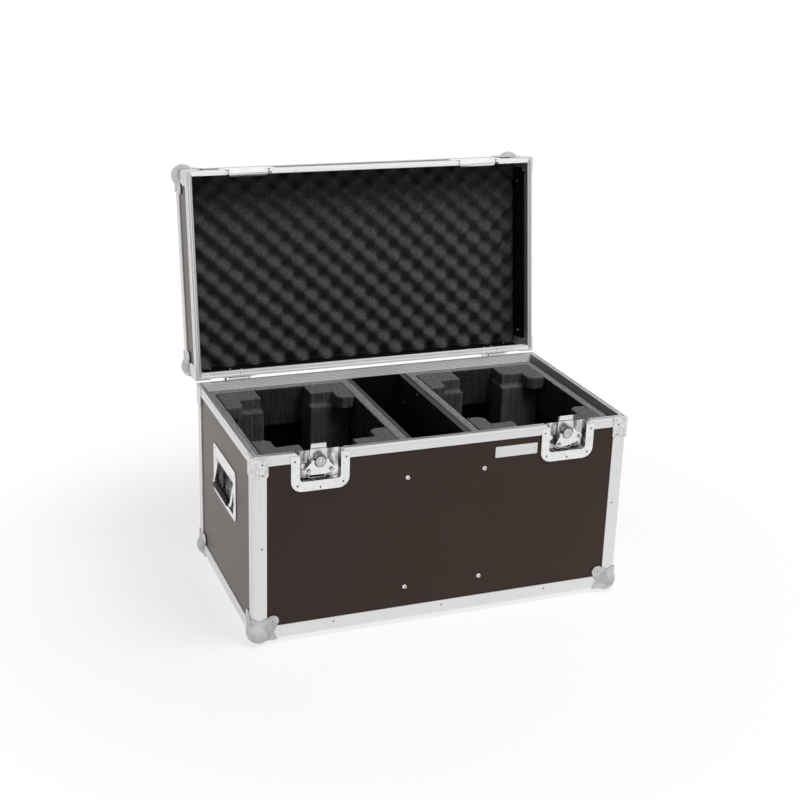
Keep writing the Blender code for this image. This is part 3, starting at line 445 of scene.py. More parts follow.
def foam(name, stretch, dark, light, top_dark, top_light):
    """Open-cell foam: pores as cells, lines along the axis that the stretch leaves short, and a top painted
    paler as painted light.
    """
    pores = Finish(name, Roughness=0.95, Specular_IOR_Level=0.04)
    cell = pores.cells(620.0)
    grain = pores.range(pores.noise(420.0, 4.0), 0.36, 0.64)
    lines = pores.range(pores.noise(170.0, 2.0, stretch), 0.32, 0.68)
    shade = grain * 0.42 + lines * 0.33 + pores.noise(22.0, 3.0) * 0.25
    painted_lit_top = pores.along(UP) > FOAM_TOP - TOP_SKIN
    sides, top = pores.mix(shade, grey(dark), grey(light)), pores.mix(grain, grey(top_dark), grey(top_light))
    pores.set("Base Color", pores.mix(painted_lit_top, sides, top))
    pores.bump(cell + lines * 0.6, 0.0006, 0.6)
    return pores.material


# The blocks' tops are painted a little paler.
# The linings' tops are painted much paler than their sides: painted light on top, painted shade on the sides
# in the bays.
block_foam = foam("block_foam", (1.0, 1.0, 0.03), 0.026, 0.120, 0.065, 0.130)
lining_foam = foam("lining_foam", (1.0, 1.0, 0.05), 0.008, 0.050, 0.120, 0.240)
crate_foam = foam("crate_foam", (0.5, 0.5, 0.5), 0.034, 0.078, 0.034, 0.078)

# %% Divider boards, rubber and name plate
RAW_EDGE_Z = 0.3316
for name, centre in (("left", -0.054), ("right", 0.060)):
    board = Finish("divider_board_" + name, Specular_IOR_Level=0.15)
    streaks = board.noise(500.0, 3.0, (1.0, 0.05, 1.0))
    off_centre = board.math("ABSOLUTE", board.along(RIGHT) - centre)
    plies = board.range(off_centre, 0.0004, 0.0014)
    raw_edge = board.mix(plies * (0.4 + streaks * 0.6), grey(0.008), grey(0.105))
    board.set("Base Color", board.mix(board.along(UP) > RAW_EDGE_Z, grey(0.0025), raw_edge))
    board.set("Roughness", 0.60 + streaks * 0.25)
    board.bump(streaks, 0.00015, 0.6)
    dress("divider_" + name, board.material)

rubber = even_finish("grip_rubber", 900.0, 3.0, (0.003, 0.008), 0.40, 0.22, 0.00012,
                     Specular_IOR_Level=0.16)
plate = even_finish("nameplate_aluminium", 900.0, 3.0, (0.60, 0.80), 0.30, 0.18, 0.00003, ALONG_X,
                    Metallic=1.0)
dress("nameplate", plate)
print("materials in all:", len(bpy.data.materials))

# %% [markdown]
# ## Working by operator
#
# Blender's operators act on whatever is selected, and loading the frame leaves its nodes selected. So each
# piece starts with nothing selected, and faces are then picked in code, by where they are and how they face.
# %% Picking pieces


def nothing_selected():
    if bpy.context.object and bpy.context.object.mode != "OBJECT":
        bpy.ops.object.mode_set(mode="OBJECT")
    for item in bpy.context.view_layer.objects:
        item.select_set(False)
    bpy.context.view_layer.objects.active = None


def pick(piece):
    nothing_selected()
    piece.select_set(True)
    bpy.context.view_layer.objects.active = piece


def edit(piece):
    pick(piece)
    bpy.ops.object.mode_set(mode="EDIT")
    bpy.ops.mesh.select_mode(type="FACE")


def done():
    bpy.ops.object.mode_set(mode="OBJECT")


# %% Picking faces, edges and points
LOOKS_ALONG = 0.9


def pick_parts(kind, test):
    """Selects the faces, edges or points of the edited piece that pass the test."""
    bpy.ops.mesh.select_mode(type=kind)
    bpy.ops.mesh.select_all(action="DESELECT")
    mesh = bpy.context.edit_object.data
    shape = bmesh.from_edit_mesh(mesh)
    for part in {"FACE": shape.faces, "EDGE": shape.edges, "VERT": shape.verts}[kind]:
        if test(part):
            part.select_set(True)
    bmesh.update_edit_mesh(mesh)


def pick_faces(test):
    """Selects faces by their middle and normal."""
    pick_parts("FACE", lambda face: test(face.calc_center_median(), face.normal))


def pick_facing(axis, least=LOOKS_ALONG):
    """Selects the faces that look along an axis."""
    pick_faces(lambda middle, normal: normal.dot(axis) > least)


def pick_points(test):
    """Selects points by their place."""
    pick_parts("VERT", lambda point: test(point.co))


# %% [markdown]
# New pieces start from a primitive that is added at its size and place. Rings are then inset in a face and
# pushed in or out, modifiers are applied, and the finished piece gets its name and its body.
# %% Starting a piece


def primitive(add, finishes=(), **sizes):
    """Adds a primitive with nothing else selected, puts its place into its mesh and gives it finishes."""
    nothing_selected()
    add(**sizes)
    bpy.ops.object.transform_apply(location=True, rotation=True, scale=True)
    piece = bpy.context.object
    for finish in finishes:
        piece.data.materials.append(finish)
    return piece


def cylinder(vertices, radius, depth, place, finishes=(), along_y=True):
    """A cylinder round a place, lying along Y or standing up."""
    turn = (QUARTER_TURN if along_y else 0.0, 0.0, 0.0)
    return primitive(bpy.ops.mesh.primitive_cylinder_add, finishes, vertices=vertices, radius=radius,
                     depth=depth, location=place, rotation=turn)


def block(place, size, finishes=()):
    return primitive(bpy.ops.mesh.primitive_cube_add, finishes, size=1.0, location=place, scale=size)


# %% Shaping a piece


def inset(*rings):
    """Insets the picked faces ring by ring, each with its thickness and depth."""
    for thickness, depth in rings:
        bpy.ops.mesh.inset(thickness=thickness, depth=depth)


def inset_front(piece, *rings, least=LOOKS_ALONG):
    """Insets the faces of a piece that look to the front."""
    edit(piece)
    pick_facing(-BACK, least)
    inset(*rings)
    done()


def modify(piece, kind, **settings):
    """Adds a modifier and applies it."""
    pick(piece)
    modifier = piece.modifiers.new(kind.lower(), kind)
    for key, value in settings.items():
        setattr(modifier, key, value)
    bpy.ops.object.modifier_apply(modifier=modifier.name)


def smooth(piece, degrees=35.0):
    pick(piece)
    bpy.ops.object.shade_smooth_by_angle(angle=math.radians(degrees))
    return piece


def bevelled(piece, width, segments=2, degrees=40.0):
    modify(piece, "BEVEL", width=width, segments=segments, limit_method="ANGLE",
           angle_limit=math.radians(degrees), use_clamp_overlap=True)
    return smooth(piece)


def second_material(piece, material, test):
    """Adds a material and gives it to the faces whose middle passes the test."""
    piece.data.materials.append(material)
    piece.active_material_index = len(piece.data.materials) - 1
    edit(piece)
    pick_faces(lambda middle, normal: test(middle))
    bpy.ops.object.material_slot_assign()
    done()


# %% Finishing, copying and joining pieces


def settle(piece, name, body, material=None):
    """Names a finished piece, puts its place into its mesh and makes it ride."""
    pick(piece)
    bpy.ops.object.transform_apply(location=True, rotation=True, scale=True)
    piece.name = name
    if material is not None:
        piece.data.materials.clear()
        piece.data.materials.append(material)
    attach(piece, body)


def copy_of(piece, matrix):
    """A copy with its own mesh, placed by a matrix; a mirroring matrix has its faces turned back."""
    twin = piece.copy()
    twin.data = piece.data.copy()
    bpy.context.scene.collection.objects.link(twin)
    twin.data.transform(matrix)
    if matrix.determinant() < 0:
        twin.data.flip_normals()
    return twin


def joined(pieces):
    """One object from several."""
    pick(pieces[0])
    for piece in pieces:
        piece.select_set(True)
    bpy.ops.object.join()
    return pieces[0]


# %% [markdown]
# ## Merged copies of CAD nodes
#
# A CAD node arrives as loose triangles. For a pressed or folded metal piece its shape is right but its edges
# are knife-sharp, and a real sheet's edges catch a line of light. So the node is copied, its points merged,
# its flat faces made whole again, and a narrow bevel run along the sharp edges.
# %% Merge a copy
MERGE_DISTANCE, FLAT_ANGLE = 0.00002, math.radians(0.5)


def merged_copy(node):
    """A copy of a CAD node with its points merged and its flat faces whole."""
    source = frame["nodes"][node]
    piece = bpy.data.objects.new("copy", source.data.copy())
    bpy.context.scene.collection.objects.link(piece)
    piece.data.materials.clear()
    edit(piece)
    bpy.ops.mesh.select_all(action="SELECT")
    bpy.ops.mesh.remove_doubles(threshold=MERGE_DISTANCE)
    bpy.ops.mesh.dissolve_limited(angle_limit=FLAT_ANGLE)
    done()
    if piece.data.has_custom_normals:
        bpy.ops.mesh.customdata_custom_splitnormals_clear()
    return piece


# %% [markdown]
# Handle bails and springs are round wire. A row of points with a round bevel is wire at once, and converting
# it to a mesh lets it be joined to other pieces.
# %% A round rod


def bent_rod(points, radius, facets=6):
    """A round rod that follows a row of points."""
    curve = bpy.data.curves.new("rod", "CURVE")
    curve.dimensions = "3D"
    curve.bevel_depth = radius
    curve.bevel_resolution = facets
    curve.use_fill_caps = True
    line = curve.splines.new("POLY")
    line.points.add(len(points) - 1)
    for point, place in zip(line.points, points):
        point.co = (*place, 1.0)
    rod = bpy.data.objects.new("rod", curve)
    bpy.context.scene.collection.objects.link(rod)
    pick(rod)
    bpy.ops.object.convert(target="MESH")
    return bpy.context.object


# %% [markdown]
# ## Ball corners
#
# Each corner is one pressing: a ball that stands out over the corner, run out into three lobed flanges that
# are riveted to the edges. The flanges come from the CAD copy and the ball from a fine sphere with the case's
# own corner cut away. Remeshing the two together gives one skin, and smoothing it rounds the fold between
# ball and flange as the press does. One corner is made, and all eight are mirrored copies of it.
# %% Model one ball corner
BALL_RADIUS, BALL_INSET, CUTTER = 0.0222, 0.012, 0.1
corner_point, into_case = Vector((-HALF_WIDTH, -HALF_DEPTH, BOTTOM)), RIGHT + BACK + UP
ball = primitive(bpy.ops.mesh.primitive_uv_sphere_add, segments=64, ring_count=32, radius=BALL_RADIUS,
                 location=corner_point + BALL_INSET * into_case)
cutter = block(corner_point + CUTTER / 2 * into_case, (CUTTER, CUTTER, CUTTER))
modify(ball, "BOOLEAN", operation="DIFFERENCE", object=cutter, solver="EXACT")
bpy.data.objects.remove(cutter)
ball_master = joined([merged_copy("base_ball_corner_front_left"), ball])
modify(ball_master, "REMESH", mode="VOXEL", voxel_size=0.00055)
modify(ball_master, "SMOOTH", factor=0.5, iterations=5)
modify(ball_master, "DECIMATE", ratio=0.22)
smooth(ball_master, 60.0)
print("ball corner faces:", len(ball_master.data.polygons))

# %% Copy it to the eight corners


def mirror_to(side_x, side_y, on_lid):
    """Matrix that takes the front left corner of the base to another corner."""
    turn_up = Matrix.Identity(4)
    if on_lid:
        turn_up = OPEN_LID @ Matrix.Translation((0, 0, LID_TOP + BOTTOM)) @ Matrix.Diagonal((1, 1, -1, 1))
    return turn_up @ Matrix.Diagonal((-side_x, -side_y, 1, 1))


for body, on_lid in (("base", False), ("lid", True)):
    for corner, side_x, side_y in CORNERS:
        piece = copy_of(ball_master, mirror_to(side_x, side_y, on_lid))
        name = body + "_ball_corner_" + corner
        settle(piece, "pressed_" + name, body, ball_zinc)
        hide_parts(name)
bpy.data.objects.remove(ball_master)

# %% [markdown]
# ## Rivets
#
# Well over a hundred pop rivets hold the fittings. Seen close, each is a low dome with the broken end of its
# mandrel in the middle. Rings are inset in the top of a short cylinder and pushed in for the mandrel's hole,
# and the points of its rim are lowered. It is modelled once, lying at the origin with its head towards +Z,
# and copied to a list of places. The screws further down are made by the same function.
# %% Model one rivet
RIVET_RADIUS, RIVET_HEIGHT, RIVET_FALL = 0.0031, 0.0011, 0.00065
RIVET_RINGS = ((0.0008, 0.0), (0.0005, -0.0003), (0.00015, -0.0003))
RIM_SHARE = 0.95


def round_head(vertices, radius, height, finish, rings, fall):
    """A round head at the origin: its last ring is dark, and its rim falls away. On a rivet the dark ring is
    the mandrel's end; on a screw it is painted shade in the recess.
    """
    head = cylinder(vertices, radius, height, UP * height / 2, (finish, mandrel_and_shade), along_y=False)
    edit(head)
    pick_facing(UP)
    inset(*rings)
    head.active_material_index = 1
    bpy.ops.object.material_slot_assign()
    pick_points(lambda place: place.z > height / 2 and place.xy.length > radius * RIM_SHARE)
    bpy.ops.transform.translate(value=(0.0, 0.0, -fall))
    done()
    return smooth(head, 50.0)


rivet = round_head(16, RIVET_RADIUS, RIVET_HEIGHT, satin_zinc, RIVET_RINGS, RIVET_FALL)
print("rivet faces:", len(rivet.data.polygons))

# %% Riveting by a list of places
PRESSED_FACE, ANGLE_FACE = 0.0018, 0.0003
riveted = {"base": [], "lid": []}


def facing(place, outward):
    """Matrix that stands something from the origin at a place, its head outwards."""
    return Matrix.Translation(place) @ Vector(outward).to_track_quat("Z", "Y").to_matrix().to_4x4()


def add_rivet(body, place, outward, size=1.0):
    matrix = facing(place, outward) @ Matrix.Scale(size, 4)
    if body == "lid":
        matrix = OPEN_LID @ matrix
    riveted[body].append(copy_of(rivet, matrix))


def rivet_end(body, side, y, z, proud):
    """A rivet in the left or right end of the case, in a sheet that stands proud of it."""
    add_rivet(body, (side * (HALF_WIDTH + proud), y, z), side * RIGHT)


def rivet_face(body, side, x, z, proud):
    """A rivet in the front or back of the case."""
    add_rivet(body, (x, side * (HALF_DEPTH + proud), z), side * BACK)


# %% [markdown]
# Places of the rivets follow the photograph: two in each brace, one halfway up each post, three in each ball
# corner, five round each latch dish, and a row along the bottom edges.
# %% Rivets of corners, braces, posts and edges
LOBE, LOBE_UP = 0.035, 0.036
BRACE_IN_X, BRACE_IN_Y, BRACE_DROPS = 0.017, 0.0205, (0.0142, 0.0345)
POST_IN, POST_RIVET_Z = 0.016, 0.177
EDGE_UP, EDGE_XS, EDGE_Y = 0.0165, (-0.2108, 0.0, 0.2108), 0.004
for body, low, rim, up in (("base", BOTTOM, RIM, 1), ("lid", LID_TOP, LID_RIM, -1)):
    for corner, side_x, side_y in CORNERS:
        lobe_x, lobe_y = side_x * (HALF_WIDTH - LOBE), side_y * (HALF_DEPTH - LOBE)
        rivet_face(body, side_y, lobe_x, low + up * LOBE_UP, PRESSED_FACE)
        rivet_end(body, side_x, lobe_y, low + up * LOBE_UP, PRESSED_FACE)
        add_rivet(body, (lobe_x, lobe_y, low - up * PRESSED_FACE), -up * UP)
        for drop in BRACE_DROPS:
            rivet_face(body, side_y, side_x * (HALF_WIDTH - BRACE_IN_X), rim - up * drop, PRESSED_FACE)
            rivet_end(body, side_x, side_y * (HALF_DEPTH - BRACE_IN_Y), rim - up * drop, PRESSED_FACE)
for corner, side_x, side_y in CORNERS:
    rivet_face("base", side_y, side_x * (HALF_WIDTH - POST_IN), POST_RIVET_Z, ANGLE_FACE)
    rivet_end("base", side_x, side_y * (HALF_DEPTH - POST_IN), POST_RIVET_Z, ANGLE_FACE)
for body, z in (("base", BOTTOM + EDGE_UP), ("lid", LID_TOP - EDGE_UP)):
    for side in (-1, 1):
        for x in EDGE_XS:
            rivet_face(body, side, x, z, ANGLE_FACE)
    for side in (-1, 1):
        rivet_end(body, side, EDGE_Y, z, ANGLE_FACE)

# %% Rivets of latches, handles, hinges and name plate
DISH_RIVETS = ((-0.0466, -0.0156), (0.0466, -0.0156), (-0.0416, -0.0614), (0.0416, -0.0614), (0.0, -0.0672))
CATCH_RIVETS = ((-0.0455, 0.0135), (0.0455, 0.0135), (0.0, 0.0335))
HANDLE_ALONG, HANDLE_UP = (-0.072, 0.0, 0.072), (-0.0435, 0.0400)
LEAF_Y, LEAF_UP, LEAF_XS = HINGE_Y - 0.0015, 0.030, (-0.026, -0.010, 0.010, 0.026)
PLATE_XS, PLATE_Y, PLATE_Z, PLATE_SIZE = (0.0995, 0.1735), -HALF_DEPTH + 0.0004, 0.3075, 0.62
for name, side in SIDES:
    for body, rim, places in (("base", RIM, DISH_RIVETS), ("lid", LID_RIM, CATCH_RIVETS)):
        for across, up in places:
            rivet_face(body, -1, side * LATCH_X + across, rim + up, PRESSED_FACE)
for name, side in SIDES:
    for along in HANDLE_ALONG:
        for up in HANDLE_UP:
            rivet_end("base", side, HANDLE_Y + along, HANDLE_Z + up, ANGLE_FACE)
    for across in LEAF_XS:
        add_rivet("base", (side * HINGE_X + across, LEAF_Y, RIM - LEAF_UP), BACK)
        add_rivet("lid", (side * HINGE_X + across, LEAF_Y, LID_RIM + LEAF_UP), BACK)
for x in PLATE_XS:
    add_rivet("base", (x, PLATE_Y, PLATE_Z), -BACK, PLATE_SIZE)
print("rivets so far:", len(riveted["base"]), "on the base,", len(riveted["lid"]), "on the lid")

# %% [markdown]
# A pop rivet closes on its far side with a small bulb. Some of these bulbs show as bright dots inside the lid
# and in the middle bay. At that size a smaller rivet head is enough.
# %% Rivet tails inside
LID_WALL_X, LID_WALL_Y, BAY_WALL_X = 0.3521, 0.1921, 0.0550
SIDE_SIZE, BACK_SIZE, BAY_SIZE = 0.75, 0.85, 0.42
SIDE_TAILS = ((-0.1751, 0.3762), (-0.1513, 0.4065), (0.1641, 0.4028), (0.1790, 0.3740))
BACK_TAILS = ((0.3207, 0.4096), (0.2835, 0.3911), (0.2631, 0.3809))
BAY_TAILS = ((0.1581, 0.2823), (0.0905, 0.3230))
for name, side in SIDES:
    for y, z in SIDE_TAILS:
        add_rivet("lid", (side * LID_WALL_X, y, z), -side * RIGHT, SIDE_SIZE)
    for x, z in BACK_TAILS:
        add_rivet("lid", (side * x, LID_WALL_Y, z), -BACK, BACK_SIZE)
for y, z in BAY_TAILS:
    add_rivet("base", (BAY_WALL_X, y, z), -RIGHT, BAY_SIZE)

# %% [markdown]
# ## Screws with cup washers
#
# The dividers are held from outside by screws, each countersunk in a raised cup washer. The washer is the rim
# of a flat cylinder, and the rings inset in its top are the cup, the screw's head and its recess, painted
# dark as shade.
# %% Screws through the front and back boards
SCREW_RADIUS, SCREW_HEIGHT, SCREW_FALL, SCREW_SUNK = 0.0047, 0.0018, 0.0013, 0.0015
SCREW_RINGS = ((0.0014, 0.0), (0.0005, -0.0007), (0.0003, 0.0003), (0.0010, 0.0001), (0.0002, -0.0006))
SCREW_PLACES = ((-0.0747, 0.2788), (0.0747, 0.2788), (-0.0740, 0.0620), (0.0740, 0.0620))
# A screw's last ring, its recess, is painted dark: painted shade.
screw = round_head(24, SCREW_RADIUS, SCREW_HEIGHT, bright_zinc, SCREW_RINGS, SCREW_FALL)
for side in (-1, 1):
    for x, z in SCREW_PLACES:
        place = (x, side * (HALF_DEPTH - SCREW_SUNK), z)
        riveted["base"].append(copy_of(screw, facing(place, side * BACK)))
bpy.data.objects.remove(screw)

# %% Join the fasteners of each body
for body, pieces in riveted.items():
    count = len(pieces)
    settle(joined(pieces), body + "_fasteners", body)
    print(body, "fasteners:", count)
bpy.data.objects.remove(rivet)

# %% [markdown]
# ## Ribbed edges
#
# The aluminium angles are extruded with fine ribs along their legs. A grid is laid at each leg's size, every
# other row of its points pushed in, and the sheet extruded to a thin solid that lies on the leg. Its two
# outer rows stay flat. The grid's own map is kept, so that the finish can count the ribs across. The strips
# that ride on one body are joined.
# %% A ribbed strip
RIB_DEPTH, RIB_SHARE, STRIP_PROUD = 0.00014, 0.6, 0.00045


def ribbed_strip(start, end, across, outward, width, ribs, finish, proud=STRIP_PROUD):
    """A thin ribbed solid from start to end, centred on that line, its ribs along it and facing outwards."""
    start, end = Vector(start), Vector(end)
    length, rows = (end - start).length, 2 * ribs + 2
    strip = primitive(bpy.ops.mesh.primitive_grid_add, (finish,), size=1.0,
                      x_subdivisions=1, y_subdivisions=rows)
    ribs_map = strip.data.uv_layers[0]
    ribs_map.name = "ribs"
    for corner in ribs_map.data:
        corner.uv.y *= ribs + 1
    edit(strip)
    bpy.ops.mesh.select_all(action="SELECT")
    bpy.ops.transform.resize(value=(length, width, 1.0))
    step = width / rows
    inner_rows = [step * (2 * row + 2) - width / 2 for row in range(ribs)]
    pick_points(lambda place: any(abs(place.y - row) < step / 4 for row in inner_rows))
    bpy.ops.transform.translate(value=(0.0, 0.0, -min(RIB_DEPTH, proud * RIB_SHARE)))
    bpy.ops.mesh.select_mode(type="FACE")
    bpy.ops.mesh.select_all(action="SELECT")
    bpy.ops.mesh.extrude_region_move(TRANSFORM_OT_translate={"value": (0.0, 0.0, -proud)})
    bpy.ops.mesh.select_all(action="SELECT")
    bpy.ops.mesh.normals_make_consistent(inside=False)
    done()
    along = (end - start).normalized()
    turn = Matrix((along, across, outward)).transposed().to_4x4()
    strip.data.transform(Matrix.Translation((start + end) / 2 + outward * proud) @ turn)
    if along.cross(across).dot(outward) < 0:
        strip.data.flip_normals()
    return strip


# %% Strips along the case's three directions
strips = {"base": [], "lid": []}


def ribs_x(body, span, y, z, across, outward, look):
    """Adds a strip along X over a span, with its look: width, ribs, finish and how proud it stands."""
    strips[body].append(ribbed_strip((span[0], y, z), (span[1], y, z), across, outward, *look))


def ribs_y(body, reach, x, z, across, outward, look):
    """Adds a strip along Y that reaches as far to the front as to the back."""
    strips[body].append(ribbed_strip((x, -reach, z), (x, reach, z), across, outward, *look))


# %% Ribs on the posts and edges
LEG_LOOK, LEG_MIDDLE = (0.0226, 6, outer_ribs), 0.0132
POST_LOW, POST_HIGH = BOTTOM + 0.043, RIM - 0.0405
EDGE_END_X, EDGE_END_Y = HALF_WIDTH - 0.034, HALF_DEPTH - 0.034
LEG_X, LEG_Y = HALF_WIDTH - LEG_MIDDLE, HALF_DEPTH - LEG_MIDDLE
for corner, side_x, side_y in CORNERS:
    for x, y, across, outward in ((side_x * LEG_X, side_y * HALF_DEPTH, RIGHT, side_y * BACK),
                                  (side_x * HALF_WIDTH, side_y * LEG_Y, BACK, side_x * RIGHT)):
        strips["base"].append(ribbed_strip((x, y, POST_LOW), (x, y, POST_HIGH), across, outward, *LEG_LOOK))
for body, z, up in (("base", BOTTOM, 1), ("lid", LID_TOP, -1)):
    span, leg_z = (-EDGE_END_X, EDGE_END_X), z + up * LEG_MIDDLE
    for side in (-1, 1):
        ribs_x(body, span, side * HALF_DEPTH, leg_z, UP, side * BACK, LEG_LOOK)
        ribs_y(body, EDGE_END_Y, side * HALF_WIDTH, leg_z, UP, side * RIGHT, LEG_LOOK)
        ribs_x(body, span, side * LEG_Y, z, BACK, -up * UP, LEG_LOOK)
        ribs_y(body, EDGE_END_Y, side * LEG_X, z, RIGHT, -up * UP, LEG_LOOK)

# %% Ribs outside and inside the rims
RIM_LOOK = (0.0116, 3, outer_ribs)
# Inside the rims, the back and front ribs are painted light and the flank ribs painted shade.
INSIDE_LOOK, FLANK_LOOK = (0.0150, 4, lit_inner_ribs), (0.0150, 4, shaded_ribs)
OUTER_DROP, INNER_DROP = 0.0124, 0.0095
NOTCH_IN, NOTCH_OUT, NOTCH_X = LATCH_X - 0.046, LATCH_X + 0.046, LATCH_X - LATCH_NOTCH
BRACE_END, SIDE_END = HALF_WIDTH - 0.026, HALF_DEPTH - 0.026
WALL_X, WALL_Y = HALF_WIDTH - PROFILE_WIDTH, HALF_DEPTH - PROFILE_WIDTH
FRONT_RUNS = ((-BRACE_END, -NOTCH_OUT), (-NOTCH_IN, NOTCH_IN), (NOTCH_OUT, BRACE_END))
BACK_RUN = (-BRACE_END, BRACE_END)
for body, rim, down in (("base", RIM, -1), ("lid", LID_RIM, 1)):
    outer_z, inner_z = rim + down * OUTER_DROP, rim + down * INNER_DROP
    for run in FRONT_RUNS:
        ribs_x(body, run, -HALF_DEPTH, outer_z, UP, -BACK, RIM_LOOK)
    ribs_x(body, BACK_RUN, HALF_DEPTH, outer_z, UP, BACK, RIM_LOOK)
    for side in (-1, 1):
        ribs_y(body, SIDE_END, side * HALF_WIDTH, outer_z, UP, side * RIGHT, RIM_LOOK)
        ribs_y(body, WALL_Y, side * WALL_X, inner_z, UP, -side * RIGHT, FLANK_LOOK)
    ribs_x(body, (-WALL_X, WALL_X), WALL_Y, inner_z, UP, -BACK, INSIDE_LOOK)
    ribs_x(body, (-NOTCH_X, NOTCH_X), -WALL_Y, inner_z, UP, BACK, INSIDE_LOOK)

# %% [markdown]
# The rims' own faces are ribbed too. The base's rim has a groove that the lid's tongue enters, so its ribs
# lie in two narrow strips, one on each side of the groove. These strips stand only 0.1 mm proud, because the
# closed lid comes within 0.3 mm of them.
# %% Ribs on the rim faces
RIM_PROUD, LID_FLANK_END = 0.0001, HALF_DEPTH - 0.0012
# The lid's rim ribs are painted light and its side ribs painted shade; the base's rim ribs have dark grooves
# of painted shade.
for body, rim, up, inward, width, ribs, finish, flank_finish, flank_end in (
        ("base", RIM, 1, 0.00145, 0.0022, 1, rim_ribs, rim_ribs, SIDE_END),
        ("base", RIM, 1, 0.0073, 0.0034, 1, rim_ribs, rim_ribs, SIDE_END),
        ("lid", LID_RIM, -1, 0.0047, 0.0084, 2, lit_lid_ribs, shaded_lid_side_ribs, LID_FLANK_END)):
    rim_x, rim_y = HALF_WIDTH - inward, HALF_DEPTH - inward
    look, flank_look = (width, ribs, finish, RIM_PROUD), (width, ribs, flank_finish, RIM_PROUD)
    for run in FRONT_RUNS:
        ribs_x(body, run, -rim_y, rim, BACK, up * UP, look)
    ribs_x(body, BACK_RUN, rim_y, rim, BACK, up * UP, look)
    for side in (-1, 1):
        ribs_y(body, flank_end, side * rim_x, rim, RIGHT, up * UP, flank_look)

# %% Join the ribs of each body
for piece in strips["lid"]:
    piece.data.transform(OPEN_LID)
for body, pieces in strips.items():
    count = len(pieces)
    piece = smooth(joined(pieces), 25.0)
    settle(piece, body + "_edge_ribs", body)
    print(body, "ribbed strips:", count, "faces:", len(piece.data.polygons))

# %% [markdown]
# ## Latches
#
# Each latch sits in a pressed dish that is let into the rim: a flanged tray, a turning hub with a folding
# wing, and a flat hook behind it that reaches up for the bar in the lid. Dish, hook and wing keep the CAD's
# shape with bevelled edges. The hub is a stepped button: a cylinder with rings inset and pushed in and out.
# %% Round the inner corners of the catch trays
CATCH_HALF, TRAY_FLOOR, TRAY_WALL, TRAY_TURN, TRAY_TOP = 0.0382, -0.1858, 0.0012, 0.0068, 0.3722
NEAR = 0.0003


def round_tray(piece, side):
    """Bevels a catch tray's four upright corner edges, the outer ones wider by the sheet's thickness."""
    piece.data.transform(CLOSE_LID)
    for wall, turn in ((0.0, TRAY_TURN), (TRAY_WALL, TRAY_TURN - TRAY_WALL)):
        edit(piece)
        pick_parts("EDGE", lambda edge: all(
            abs(abs(point.co.x - side * LATCH_X) - (CATCH_HALF - wall)) < NEAR and point.co.z < TRAY_TOP
            and abs(point.co.y - (TRAY_FLOOR - wall)) < NEAR for point in edge.verts))
        bpy.ops.mesh.bevel(offset=turn, segments=5)
        done()
    piece.data.transform(OPEN_LID)


def from_hub(place, side):
    """How far a place lies from the axis of a latch's hub."""
    return (place.xz - Vector((side * LATCH_X, HUB_Z))).length


# %% Dishes, catches, hooks and wings
SHEET_BEVEL, BAR_BEVEL = 0.0005, 0.0003
DISH_INSIDE_Y, DISH_WALL_X, WING_NOTCH = -HALF_DEPTH + 0.0012, 0.0345, 0.01145
for name, side in SIDES:
    for kind, body, width, finish in (("dish", "base", SHEET_BEVEL, satin_zinc),
                                      ("catch", "lid", SHEET_BEVEL, lit_catch_zinc),
                                      ("hook", "latch_hook_" + name, BAR_BEVEL, folded.material),
                                      ("wing", "latch_wing_" + name, BAR_BEVEL, satin_zinc)):
        node = "latch_" + kind + "_" + name
        piece = merged_copy(node)
        if kind == "catch":
            round_tray(piece, side)
        bevelled(piece, width)
        piece.data.materials.append(finish)
        # The dish's inside gets painted reflection, and its right wall painted shade.
        if kind == "dish":
            second_material(piece, dish_painted_reflection, lambda middle: middle.y > DISH_INSIDE_Y)
            second_material(piece, dish_shade, lambda middle: middle.y > DISH_INSIDE_Y
                            and middle.x > side * LATCH_X + DISH_WALL_X)
        # The edge of the wing's notch round the hub is painted dark: a painted shadow gap.
        if kind == "wing":
            second_material(piece, mandrel_and_shade, lambda middle: from_hub(middle, side) < WING_NOTCH)
        settle(piece, "pressed_" + node, body)
        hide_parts(node)

